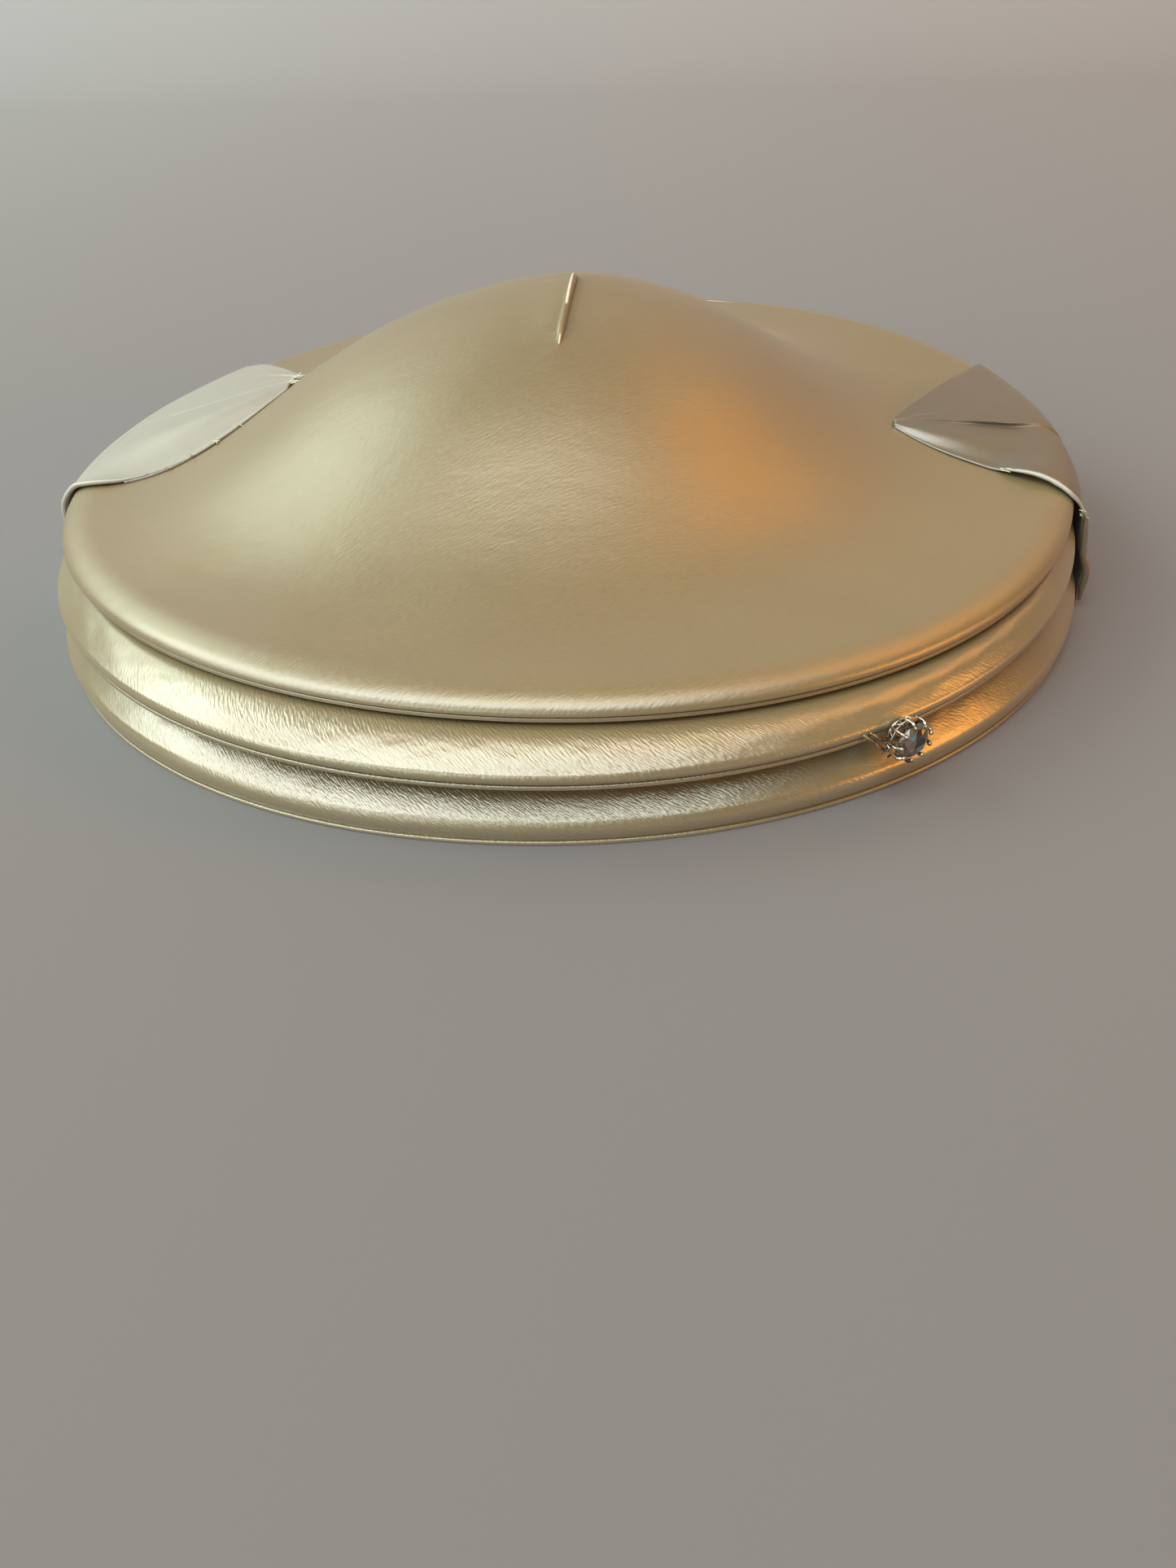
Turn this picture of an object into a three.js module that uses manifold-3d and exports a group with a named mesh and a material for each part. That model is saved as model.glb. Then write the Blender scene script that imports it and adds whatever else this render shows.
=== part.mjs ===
// Percher hat in satin: a bell-shaped crown with a wide brim, two more brims stacked under it,
// a folded tab on each side and one rhinestone in a claw setting.
// Millimetres, +Z up. The front of the hat faces -Y and its right side in a front view is +X.
// The origin is the middle of the outline that the lowest edge makes on the surface.

import * as THREE from 'three';
import { ConvexGeometry } from 'three/addons/geometries/ConvexGeometry.js';
import { mergeVertices } from 'three/addons/utils/BufferGeometryUtils.js';
import Module from 'manifold-3d';

// Driving dimensions

const clothWall = 2.2;
const meetingGap = 0.35;
const layerGap = 1.0;

// The brims' outlines: the crown's half width and half depth, how far each lower brim's half width
// and half depth go beyond them, and how high each edge lies
const crownHalfWidth = 135;
const crownHalfDepth = 133.2;
const crownEdgeHeight = 28;
const middleExtraWidth = 0.8;
const middleExtraDepth = 4.7;
const middleEdgeHeight = 16;
const lowerExtraWidth = 3.7;
const lowerExtraDepth = 4.0;
const outlineSquareness = 2.05;

// The brims' edge: a roll with a thinner facing edge under it
const rollRadius = 1.5;
const facingThickness = 1.15;
const grooveDepth = 0.6;
const facingRound = 0.4;
const facingWidth = 2.2;
const rollUnder = 72;
const bandSlope = 50;
const lipRunIn = 4.5;

// The crown
const peakHeight = 74;
const peakSide = 3.5;
const peakSetback = 9.6;
const bellLean = 0.2;
const bellBackLean = 0.08;

// The pressed tuck that runs from the peak down the front
const tuckLength = 38;
const tuckHeight = 1.3;
const tuckWidth = 15;
const tuckAngle = -88;

// The head opening through the two lower brims
const openingHalfWidth = 84;
const openingHalfDepth = 90;

// The tabs
const tabThickness = 1.2;
const tabLift = 0.7;
const tabPleatHeight = 1.2;
const tabStandOff = 3.4;
const tabEndHeight = 1.6;

// The rhinestone and its claw setting
const stoneDiameter = 7.8;
const stoneCrownHeight = 1.3;
const stoneGirdle = 0.3;
const stonePavilion = 3.0;
const stoneAngle = -53;
const stoneDrop = 0.4;
const cupPlate = 0.7;
const cupWall = 0.5;
const bandHeight = 1.3;
const prongCount = 9;
const prongThickness = 0.75;
const prongLap = 0.1;
const legDiameter = 0.6;
const solderDepth = 0.15;

// How the edges wave: shares of the crown's half width, added to an edge's height by its
// lean to the right, its lean to the back, and its two saddle shapes
const crownWave = { right: 0, back: 0.036, saddle: -0.0104, twist: 0.013 };
const middleWave = { right: 0.013, back: 0.0094, saddle: -0.0008, twist: 0.0143 };
const levelWave = { right: 0, back: 0, saddle: 0, twist: 0 };

// The crown's fall from the peak (reach 0) to the edge's roll (reach 1), as shares
const bellProfile = [
  { reach: 0, rise: 1 },
  { reach: 0.1, rise: 0.96 },
  { reach: 0.2, rise: 0.88 },
  { reach: 0.3, rise: 0.772 },
  { reach: 0.42, rise: 0.602 },
  { reach: 0.56, rise: 0.346 },
  { reach: 0.72, rise: 0.107 },
  { reach: 0.88, rise: 0.01 },
  { reach: 1, rise: 0 },
];

// The lower brims' rise from the roll inwards: shares of the way to the opening (inward), and
// of the room under the layer above (rise)
const bandProfile = [
  { inward: 0, rise: 0 },
  { inward: 0.035, rise: 0.34 },
  { inward: 0.07, rise: 0.6 },
  { inward: 0.13, rise: 0.82 },
  { inward: 0.22, rise: 0.95 },
  { inward: 0.36, rise: 1 },
  { inward: 1, rise: 1 },
];

// The tabs' free end: places down the outside of the brims, outward as a share of the stand-off,
// down as a share of the way from the crown's edge to the tab's end, and whether the tab has to
// clear the widest brim there
const tabDrop = [
  { outward: 0.55, down: 0.1, clear: false },
  { outward: 0.8, down: 0.3, clear: false },
  { outward: 0.95, down: 0.5, clear: false },
  { outward: 1, down: 0.68, clear: true },
  { outward: 1, down: 0.86, clear: true },
  { outward: 0.3, down: 1, clear: true },
];

// Across a tab, from its front edge to its back edge: where each row starts on the gather, where
// it ends on the edge's curve, how much of the tab's bow it takes, how high it lifts over the
// brim as a share of the gather's distance from the edge, and its share of the pleat's height
const tabRows = [
  { gather: 0, fan: 0, bow: 1, lift: 0.03, pleat: 0 },
  { gather: 0.1, fan: 0.06, bow: 0.85, lift: 0.06, pleat: 0 },
  { gather: 0.25, fan: 0.18, bow: 0.6, lift: 0.05, pleat: 0 },
  { gather: 0.4, fan: 0.32, bow: 0.35, lift: 0.04, pleat: 0 },
  { gather: 0.49, fan: 0.43, bow: 0.2, lift: 0.035, pleat: 0 },
  { gather: 0.51, fan: 0.455, bow: 0.2, lift: 0.035, pleat: 1 },
  { gather: 0.65, fan: 0.6, bow: 0.1, lift: 0.045, pleat: 0.55 },
  { gather: 0.8, fan: 0.78, bow: 0, lift: 0.055, pleat: 0.2 },
  { gather: 1, fan: 1, bow: 0, lift: 0.07, pleat: 0 },
];

// Along a tab from the gather to the edge: the places that shape it
const tabRun = [0.3, 0.62, 0.86];

// Each tab's side, the direction of its gather, the directions of its front and back edges on the
// crown's edge (degrees), and as shares of the crown's half width: how far out the gather lies,
// how wide it is, and how far the front edge bows
const tabs = [
  { name: 'right_tab', side: 1, gather: 2.5, front: -12, back: 26, reach: 0.665, width: 0.03, bow: 0.005 },
  { name: 'left_tab', side: -1, gather: 7, front: -15.5, back: 28.5, reach: 0.6, width: 0.09, bow: 0.09 },
];

// The stone's rings of corners from the table to the back: radius as a share of the stone's,
// height above the girdle as a share of the crown's height, and depth below as a share of the
// pavilion's
const stoneRings = [
  { radius: 0.56, corners: 8, above: 1, below: 0, turn: 0.5 },
  { radius: 0.86, corners: 8, above: 0.55, below: 0, turn: 0 },
  { radius: 1, corners: 16, above: 0, below: 0, turn: 0 },
  { radius: 0.55, corners: 8, above: 0, below: 0.55, turn: 0 },
];

// The two wire legs: how far along the brim they reach, where they leave the plate and where they
// bend, all as shares of the stone's diameter (across, up, and out from the plate)
const legs = [
  { reach: 1.18, startAcross: 0.3, startUp: -0.15, bendAcross: 0.54, bendUp: -0.28, bendOut: 0.15 },
  { reach: 0.96, startAcross: 0.3, startUp: -0.04, bendAcross: 0.54, bendUp: -0.06, bendOut: 0.15 },
];

const roundSteps = 48;
const rollSteps = 5;
const crownSteps = [0, 0.04, 0.085, 0.13, 0.18, 0.23, 0.29, 0.35, 0.41, 0.47, 0.53, 0.59, 0.65, 0.71,
  0.77, 0.84, 0.92];
const innerSteps = [0.88, 0.76, 0.66, 0.57, 0.48, 0.39, 0.3, 0.2, 0.1, 0];
const bandSteps = [0.7, 0.36, 0.22, 0.13, 0.07, 0.035];
const bandUnderSteps = [0.16, 0.25, 0.38, 0.7];
const pathSteps = 22;
const ringSteps = 18;
const wireSides = 5;
const wireSteps = 6;
const joinReach = 1e-4;

// Materials

function finish(color, roughness, metalness) {
  return new THREE.MeshStandardMaterial({ color, roughness, metalness });
}

const satin = () => finish(0xd9cfa6, 0.42, 0);
const silver = () => finish(0xb9b6ae, 0.25, 1);
const crystal = () => finish(0xcfd6d8, 0.05, 0);

// Small helpers

const radians = THREE.MathUtils.degToRad;
const smooth = THREE.MathUtils.smoothstep;
const blend = THREE.MathUtils.lerp;

// A smooth curve through a table's rows that never swings past them. It leaves the first row level
// or straight towards the second one.
function tableValue(table, key, value, x, levelStart) {
  const last = table.length - 1;
  const slope = (i) => (table[i + 1][value] - table[i][value]) / (table[i + 1][key] - table[i][key]);
  const tangent = (i) => {
    if (i === 0) return levelStart ? 0 : slope(0);
    if (i === last) return 0;
    const before = slope(i - 1);
    const after = slope(i);
    return before * after <= 0 ? 0 : (2 * before * after) / (before + after);
  };
  const clamped = THREE.MathUtils.clamp(x, table[0][key], table[last][key]);
  let i = 0;
  while (i < last - 1 && clamped > table[i + 1][key]) i += 1;
  const span = table[i + 1][key] - table[i][key];
  const t = (clamped - table[i][key]) / span;
  const a = table[i][value];
  const b = table[i + 1][value];
  const ease = t * t * (3 - 2 * t);
  const lift = t * (1 - t) * (1 - t) * tangent(i) * span;
  const fall = t * t * (t - 1) * tangent(i + 1) * span;
  return a + (b - a) * ease + lift + fall;
}

function signedVolume(geometry) {
  const position = geometry.getAttribute('position');
  const index = geometry.getIndex();
  const [a, b, c] = [new THREE.Vector3(), new THREE.Vector3(), new THREE.Vector3()];
  let volume = 0;
  for (let i = 0; i < index.count; i += 3) {
    a.fromBufferAttribute(position, index.getX(i));
    b.fromBufferAttribute(position, index.getX(i + 1));
    c.fromBufferAttribute(position, index.getX(i + 2));
    volume += a.dot(b.cross(c)) / 6;
  }
  return volume;
}

// A body's points joined where they lie together, and its faces turned outward
function closed(geometry) {
  geometry.deleteAttribute('normal');
  geometry.deleteAttribute('uv');
  const body = mergeVertices(geometry, joinReach);
  if (signedVolume(body) < 0) {
    const index = body.getIndex();
    for (let i = 0; i < index.count; i += 3) {
      const second = index.getX(i + 1);
      index.setX(i + 1, index.getX(i + 2));
      index.setX(i + 2, second);
    }
  }
  body.computeVertexNormals();
  return body;
}

// A body from rows of points: neighbouring rows and neighbouring points are joined by quads, and
// quads that shrink to nothing are left out
function skin(rows, rowsClose, pointsClose) {
  const corners = [];
  const apart = (a, b) => a.distanceTo(b) > joinReach;
  const add = (a, b, c) => {
    if (apart(a, b) && apart(b, c) && apart(a, c)) corners.push(a, b, c);
  };
  const rowEnd = rowsClose ? rows.length : rows.length - 1;
  const pointEnd = pointsClose ? rows[0].length : rows[0].length - 1;
  for (let i = 0; i < rowEnd; i += 1) {
    const here = rows[i];
    const next = rows[(i + 1) % rows.length];
    for (let j = 0; j < pointEnd; j += 1) {
      const k = (j + 1) % here.length;
      add(here[j], next[j], next[k]);
      add(here[j], next[k], here[k]);
    }
  }
  return closed(new THREE.BufferGeometry().setFromPoints(corners));
}

// The brims' outlines. Their backs lie one above the other, and the fronts differ by their depths.

function edge(extraWidth, extraDepth, height, wave) {
  const halfWidth = crownHalfWidth + extraWidth;
  const halfDepth = crownHalfDepth + extraDepth;
  return { halfWidth, halfDepth, height, wave, centreY: middleExtraDepth - extraDepth };
}

const crownEdge = edge(0, 0, crownEdgeHeight, crownWave);
const middleEdge = edge(middleExtraWidth, middleExtraDepth, middleEdgeHeight, middleWave);
const lowerEdge = edge(lowerExtraWidth, lowerExtraDepth, 0, levelWave);
const openingCentreY = crownEdge.centreY;

const lipHeight = facingThickness + 1.9 * rollRadius;

function outlineRadius(halfWidth, halfDepth, angle) {
  const n = outlineSquareness;
  const across = Math.pow(Math.abs(Math.cos(angle)) / halfWidth, n);
  const deep = Math.pow(Math.abs(Math.sin(angle)) / halfDepth, n);
  return Math.pow(across + deep, -1 / n);
}

// The underside of a brim's edge in one direction
function edgeHeight(brim, angle) {
  const w = brim.wave;
  const lean = w.right * Math.cos(angle) + w.back * Math.sin(angle);
  const saddle = w.saddle * Math.cos(2 * angle) + w.twist * Math.sin(2 * angle);
  return brim.height + crownHalfWidth * (lean + saddle);
}

function edgePoint(brim, angle, inset, z) {
  const r = outlineRadius(brim.halfWidth, brim.halfDepth, angle) - inset;
  return new THREE.Vector3(r * Math.cos(angle), brim.centreY + r * Math.sin(angle), z);
}

function openingPoint(angle, inset, z) {
  const r = outlineRadius(openingHalfWidth, openingHalfDepth, angle) - inset;
  return new THREE.Vector3(r * Math.cos(angle), openingCentreY + r * Math.sin(angle), z);
}

// The roll and the facing edge under it, from the top of the roll down to the underside. slope is
// how steeply the cloth above runs onto the roll.
function rolledEdge(brim, angle, slope) {
  const base = edgeHeight(brim, angle);
  const centre = base + lipHeight - rollRadius;
  const points = [];
  for (let i = 0; i <= rollSteps; i += 1) {
    const turn = blend(90 - slope, -rollUnder, i / rollSteps);
    const out = rollRadius * Math.cos(radians(turn));
    const up = rollRadius * Math.sin(radians(turn));
    points.push(edgePoint(brim, angle, rollRadius - out, centre + up));
  }
  points.push(edgePoint(brim, angle, rollRadius, base + facingThickness));
  points.push(edgePoint(brim, angle, grooveDepth, base + facingThickness - facingRound / 2));
  points.push(edgePoint(brim, angle, grooveDepth, base + facingRound / 2));
  points.push(edgePoint(brim, angle, grooveDepth + facingRound, base));
  points.push(edgePoint(brim, angle, grooveDepth + facingRound + facingWidth, base));
  return points;
}

// The crown's upper surface

const peak = new THREE.Vector3(peakSide, crownEdge.centreY + peakSetback, peakHeight);

function rollTop(brim, angle) {
  return edgePoint(brim, angle, rollRadius, edgeHeight(brim, angle) + lipHeight);
}

// The tuck's left side lies over its right side, so the surface drops along one line
function tuckRise(point, angle) {
  const away = Math.hypot(point.x - peak.x, point.y - peak.y);
  const fromFold = radians(tuckAngle) - angle;
  const turned = Math.atan2(Math.sin(fromFold), Math.cos(fromFold));
  if (turned < -1e-6 || turned > Math.PI / 2) return 0;
  const aside = away * Math.sin(turned);
  const along = away * Math.cos(turned);
  const ends = smooth(along, 0, 0.12 * tuckLength) * (1 - smooth(along, 0.8 * tuckLength, tuckLength));
  return tuckHeight * ends * Math.exp(-Math.pow(aside / (tuckWidth / 2), 2));
}

function crownTop(reach, angle) {
  const rim = rollTop(crownEdge, angle);
  const point = new THREE.Vector3().lerpVectors(peak, rim, reach);
  const lean = bellLean * Math.cos(angle) + bellBackLean * Math.sin(angle);
  const leaned = Math.min(1, reach * (1 + lean * (1 - reach)));
  const rise = tableValue(bellProfile, 'reach', 'rise', leaned, true);
  point.z = rim.z + (peak.z - rim.z) * rise + tuckRise(point, angle);
  return point;
}

// The height of the crown's upper surface over any place inside its edge
function crownTopAt(x, y) {
  let low = 0;
  let high = 1;
  let angle = 0;
  for (let i = 0; i < 40; i += 1) {
    const reach = (low + high) / 2;
    const centreX = blend(peak.x, 0, reach);
    const centreY = blend(peak.y, crownEdge.centreY, reach);
    angle = Math.atan2(y - centreY, x - centreX);
    const full = outlineRadius(crownEdge.halfWidth, crownEdge.halfDepth, angle) - rollRadius;
    if (Math.hypot(x - centreX, y - centreY) > full * reach) low = reach;
    else high = reach;
  }
  return crownTop((low + high) / 2, angle).z;
}

// Even steps round the hat, with two more in place of the nearest that hold the tuck's fold
function roundAngles() {
  const fold = 360 + tuckAngle;
  const even = Array.from({ length: roundSteps }, (_, i) => (360 * i) / roundSteps);
  const kept = even.filter((angle) => Math.abs(angle - fold) > 3);
  return kept.concat([fold, fold + 1.5]).sort((a, b) => a - b).map(radians);
}

function crownBody() {
  const rows = roundAngles().map((angle) => {
    const row = crownSteps.map((reach) => crownTop(reach, angle));
    row.push(...rolledEdge(crownEdge, angle, 0));
    const lipEnd = edgePoint(crownEdge, angle, rollRadius + lipRunIn, 0);
    lipEnd.z = crownTopAt(lipEnd.x, lipEnd.y) - clothWall;
    row.push(lipEnd);
    for (const reach of innerSteps) {
      const point = crownTop(reach, angle);
      point.z -= clothWall;
      row.push(point);
    }
    return row;
  });
  for (const row of rows) {
    row[0] = rows[0][0];
    row[row.length - 1] = rows[0][rows[0].length - 1];
  }
  return skin(rows, true, false);
}

// A lower brim: the band rises from the roll to just under the edge of the brim above, runs in to
// the head opening, and turns up there as a collar. seat is the height that the collar reaches.
function brimBody(brim, above, seat) {
  const bandTop = (share, angle) => {
    const start = rollTop(brim, angle);
    const end = openingPoint(angle, -clothWall, 0);
    const point = new THREE.Vector3().lerpVectors(start, end, share);
    const room = edgeHeight(above, angle) - layerGap - start.z;
    point.z = start.z + room * tableValue(bandProfile, 'inward', 'rise', share, false);
    return point;
  };
  const rows = roundAngles().map((angle) => {
    const row = bandSteps.map((share) => bandTop(share, angle));
    row.push(...rolledEdge(brim, angle, bandSlope));
    const start = rollTop(brim, angle);
    const width = start.distanceTo(openingPoint(angle, -clothWall, start.z));
    const lipEnd = edgePoint(brim, angle, rollRadius + lipRunIn, 0);
    lipEnd.z = bandTop(lipRunIn / width, angle).z - clothWall;
    row.push(lipEnd);
    for (const share of bandUnderSteps) {
      const point = bandTop(share, angle);
      point.z -= clothWall;
      row.push(point);
    }
    const floor = bandTop(1, angle).z;
    const inner = openingPoint(angle, 0, floor - clothWall);
    const outer = openingPoint(angle, -clothWall, floor);
    row.push(inner);
    row.push(openingPoint(angle, 0, seat(inner.x, inner.y, angle) - meetingGap));
    row.push(openingPoint(angle, -clothWall, seat(outer.x, outer.y, angle) - meetingGap));
    row.push(outer);
    return row;
  });
  return { geometry: skin(rows, true, true), underside: (angle) => bandTop(1, angle).z - clothWall };
}

const crownUnder = (x, y) => crownTopAt(x, y) - clothWall;

// A tab: rows of a path each, from the gather over the brim, round the edge and down outside

function widestReach(angle) {
  const reaches = [crownEdge, middleEdge, lowerEdge].map((brim) => {
    const point = edgePoint(brim, angle, 0, 0);
    return Math.hypot(point.x, point.y - crownEdge.centreY);
  });
  return Math.max(...reaches);
}

function onSide(side, angle) {
  return side > 0 ? radians(angle) : Math.PI - radians(angle);
}

function tabPath(tab, row) {
  const gatherAngle = onSide(tab.side, tab.gather);
  const gatherReach = tab.reach * crownHalfWidth;
  const gather = new THREE.Vector3(Math.cos(gatherAngle), Math.sin(gatherAngle), 0);
  gather.multiplyScalar(gatherReach);
  gather.y += crownEdge.centreY + (row.gather - 0.5) * tab.width * crownHalfWidth;
  gather.z = crownTopAt(gather.x, gather.y) + tabLift;
  const angle = onSide(tab.side, blend(tab.front, tab.back, row.fan));
  const direction = new THREE.Vector3(Math.cos(angle), Math.sin(angle), 0);
  const rim = rollTop(crownEdge, angle);
  const lift = row.lift * (crownHalfWidth - gatherReach);
  rim.z += tabLift + lift / 3;
  const points = [gather];
  for (const share of tabRun) {
    const arch = 4 * share * (1 - share);
    const point = new THREE.Vector3().lerpVectors(gather, rim, share);
    point.y -= arch * row.bow * tab.bow * crownHalfWidth;
    const floor = crownTopAt(point.x, point.y) + tabLift;
    point.z = Math.max(point.z, floor) + (arch * lift) / 2;
    points.push(point);
  }
  points.push(rim);
  const top = edgeHeight(crownEdge, angle) + lipHeight;
  const crownReach = outlineRadius(crownHalfWidth, crownHalfDepth, angle);
  const clearReach = widestReach(angle) + meetingGap;
  for (const place of tabDrop) {
    const hung = crownReach + place.outward * tabStandOff;
    const reach = place.clear ? Math.max(hung, clearReach) : hung;
    const point = direction.clone().multiplyScalar(reach);
    point.y += crownEdge.centreY;
    point.z = blend(top, tabEndHeight, place.down);
    points.push(point);
  }
  return new THREE.CatmullRomCurve3(points, false, 'centripetal').getPoints(pathSteps);
}

function tabBody(tab) {
  const paths = tabRows.map((row) => tabPath(tab, row));
  const count = paths[0].length;
  const normalAt = (i, j) => {
    const across = paths[Math.min(i + 1, paths.length - 1)][j].clone();
    across.sub(paths[Math.max(i - 1, 0)][j]);
    const along = paths[i][Math.min(j + 1, count - 1)].clone().sub(paths[i][Math.max(j - 1, 0)]);
    return along.cross(across).multiplyScalar(tab.side).normalize();
  };
  const rows = [];
  for (let j = 0; j < count; j += 1) {
    const end = j === 0 || j === count - 1;
    const thickness = end ? 0 : tabThickness;
    const place = j / (count - 1);
    const open = smooth(place, 0, 0.4) * (1 - smooth(place, 0.55, 0.75));
    const outside = paths.map((path, i) => {
      const pleat = end ? 0 : tabRows[i].pleat * tabPleatHeight * open;
      return path[j].clone().addScaledVector(normalAt(i, j), thickness + pleat);
    });
    const inside = paths.map((path) => path[j].clone());
    rows.push(outside.concat(inside.reverse()));
  }
  return skin(rows, false, true);
}

// The rhinestone: a table, a ring of facets above and below the girdle, and a point behind.
// Its axis is +Z here and its girdle starts at z = 0.

const stoneRadius = stoneDiameter / 2;

function stoneBody() {
  const points = [new THREE.Vector3(0, 0, -stonePavilion)];
  for (const ring of stoneRings) {
    const radius = ring.radius * stoneRadius;
    for (let i = 0; i < ring.corners; i += 1) {
      const angle = (2 * Math.PI * (i + ring.turn)) / ring.corners;
      const [x, y] = [radius * Math.cos(angle), radius * Math.sin(angle)];
      if (ring.below === 0) points.push(new THREE.Vector3(x, y, stoneGirdle + ring.above * stoneCrownHeight));
      if (ring.above === 0) points.push(new THREE.Vector3(x, y, -ring.below * stonePavilion));
    }
  }
  return closed(new ConvexGeometry(points));
}

// The setting: a back plate, a band under the girdle, prongs from the plate over the girdle, and
// wire legs that run back to the brim's edge

const wasm = await Module();
wasm.setup();

function solidOf(geometry) {
  const body = closed(geometry);
  const vertProperties = new Float32Array(body.getAttribute('position').array);
  const triVerts = new Uint32Array(body.getIndex().array);
  return new wasm.Manifold(new wasm.Mesh({ numProp: 3, vertProperties, triVerts }));
}

function geometryOf(solid) {
  const mesh = solid.getMesh();
  const geometry = new THREE.BufferGeometry();
  geometry.setAttribute('position', new THREE.BufferAttribute(new Float32Array(mesh.vertProperties), 3));
  geometry.setIndex(new THREE.BufferAttribute(new Uint32Array(mesh.triVerts), 1));
  geometry.computeVertexNormals();
  return geometry;
}

// A round piece about +Z whose section is a rectangle between two radii and two heights
function turned(innerRadius, outerRadius, low, high) {
  const section = [[innerRadius, low], [outerRadius, low], [outerRadius, high], [innerRadius, high]];
  const points = section.concat([section[0]]).map(([r, z]) => new THREE.Vector2(r, z));
  return new THREE.LatheGeometry(points, ringSteps).rotateX(Math.PI / 2);
}

// A wire along a line of points, closed at both ends
function wire(points, diameter) {
  const section = new THREE.Shape();
  for (let i = 0; i < wireSides; i += 1) {
    const angle = (2 * Math.PI * i) / wireSides;
    const corner = [(diameter / 2) * Math.cos(angle), (diameter / 2) * Math.sin(angle)];
    if (i === 0) section.moveTo(...corner);
    else section.lineTo(...corner);
  }
  section.closePath();
  const extrudePath = new THREE.CatmullRomCurve3(points);
  return new THREE.ExtrudeGeometry(section, { steps: wireSteps, extrudePath, bevelEnabled: false });
}

// Heights along the setting's axis and radii about it
const plateBack = -stonePavilion - meetingGap - cupPlate;
const plateFront = plateBack + cupPlate;
const plateMiddle = plateBack + cupPlate / 2;
const bandTop = -meetingGap;
const bandBottom = bandTop - bandHeight;
const tipPlace = stoneGirdle + stoneCrownHeight / 2 + prongThickness;
const plateRadius = 0.78 * stoneRadius;
const seatRadius = stoneRadius + meetingGap;
const prongRadius = seatRadius + cupWall - solderDepth + prongThickness / 2;

function settingBody(legPaths) {
  const pieces = [
    turned(0, plateRadius, plateBack, plateFront),
    turned(seatRadius, seatRadius + cupWall, bandBottom, bandTop),
  ];
  for (let i = 0; i < prongCount; i += 1) {
    const angle = (2 * Math.PI * (i + 0.5)) / prongCount;
    const at = (r, z) => new THREE.Vector3(r * Math.cos(angle), r * Math.sin(angle), z);
    const path = [
      at(plateRadius - prongThickness, plateMiddle),
      at(blend(plateRadius, prongRadius, 0.55), blend(plateBack, bandBottom, 0.45)),
      at(prongRadius, blend(bandTop, bandBottom, 0.6)),
      at(prongRadius, stoneGirdle),
      at(stoneRadius - prongLap, tipPlace),
    ];
    pieces.push(wire(path, prongThickness));
  }
  for (const path of legPaths) pieces.push(wire(path, legDiameter));
  return geometryOf(wasm.Manifold.union(pieces.map(solidOf)));
}

// The ornament sits with its plate on the middle brim's edge and faces straight out from it
function ornament() {
  const group = new THREE.Group();
  const angle = radians(stoneAngle);
  const edgeUnder = edgeHeight(middleEdge, angle);
  const contact = edgePoint(middleEdge, angle, 0, edgeUnder + stoneDrop);
  const outwardDirection = new THREE.Vector3(Math.cos(angle), Math.sin(angle), 0);
  const sideways = new THREE.Vector3(-Math.sin(angle), Math.cos(angle), 0);
  const up = new THREE.Vector3(0, 0, 1);
  const frame = new THREE.Matrix4().makeBasis(sideways, up, outwardDirection);
  group.quaternion.setFromRotationMatrix(frame);
  group.position.copy(contact).addScaledVector(outwardDirection, meetingGap - plateBack);
  // In the ornament's own frame the brim's edge curves back on both sides, so a leg's end is
  // found on the edge and carried into that frame
  group.updateMatrixWorld(true);
  const reach = outlineRadius(middleEdge.halfWidth, middleEdge.halfDepth, angle);
  const legPaths = legs.map((leg) => {
    const endAngle = angle - (leg.reach * stoneDiameter) / reach;
    const height = edgeHeight(middleEdge, endAngle) + facingThickness + rollRadius;
    const standOff = meetingGap + legDiameter / 2;
    const end = group.worldToLocal(edgePoint(middleEdge, endAngle, -standOff, height));
    const start = new THREE.Vector3(-leg.startAcross, leg.startUp, 0).multiplyScalar(stoneDiameter);
    start.z = plateMiddle;
    const bend = new THREE.Vector3(-leg.bendAcross, leg.bendUp, leg.bendOut).multiplyScalar(stoneDiameter);
    bend.z += plateFront;
    return [start, bend, new THREE.Vector3().lerpVectors(bend, end, 0.6), end];
  });
  const stone = new THREE.Mesh(stoneBody(), crystal());
  stone.name = 'stone';
  const setting = new THREE.Mesh(settingBody(legPaths), silver());
  setting.name = 'setting';
  group.add(stone, setting);
  return group;
}

// The hat

const hat = new THREE.Group();

function addPiece(name, geometry, material) {
  const mesh = new THREE.Mesh(geometry, material);
  mesh.name = name;
  hat.add(mesh);
}

addPiece('crown', crownBody(), satin());
const middle = brimBody(middleEdge, crownEdge, crownUnder);
addPiece('middle_brim', middle.geometry, satin());
const lower = brimBody(lowerEdge, middleEdge, (x, y, angle) => middle.underside(angle));
addPiece('lower_brim', lower.geometry, satin());
for (const tab of tabs) addPiece(tab.name, tabBody(tab), satin());
hat.add(ornament());

export default hat;
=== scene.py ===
"""Percher hat in ivory satin: the looks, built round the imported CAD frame."""
import math
import random

import bpy
import numpy as np
from mathutils import Matrix, Vector


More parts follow.
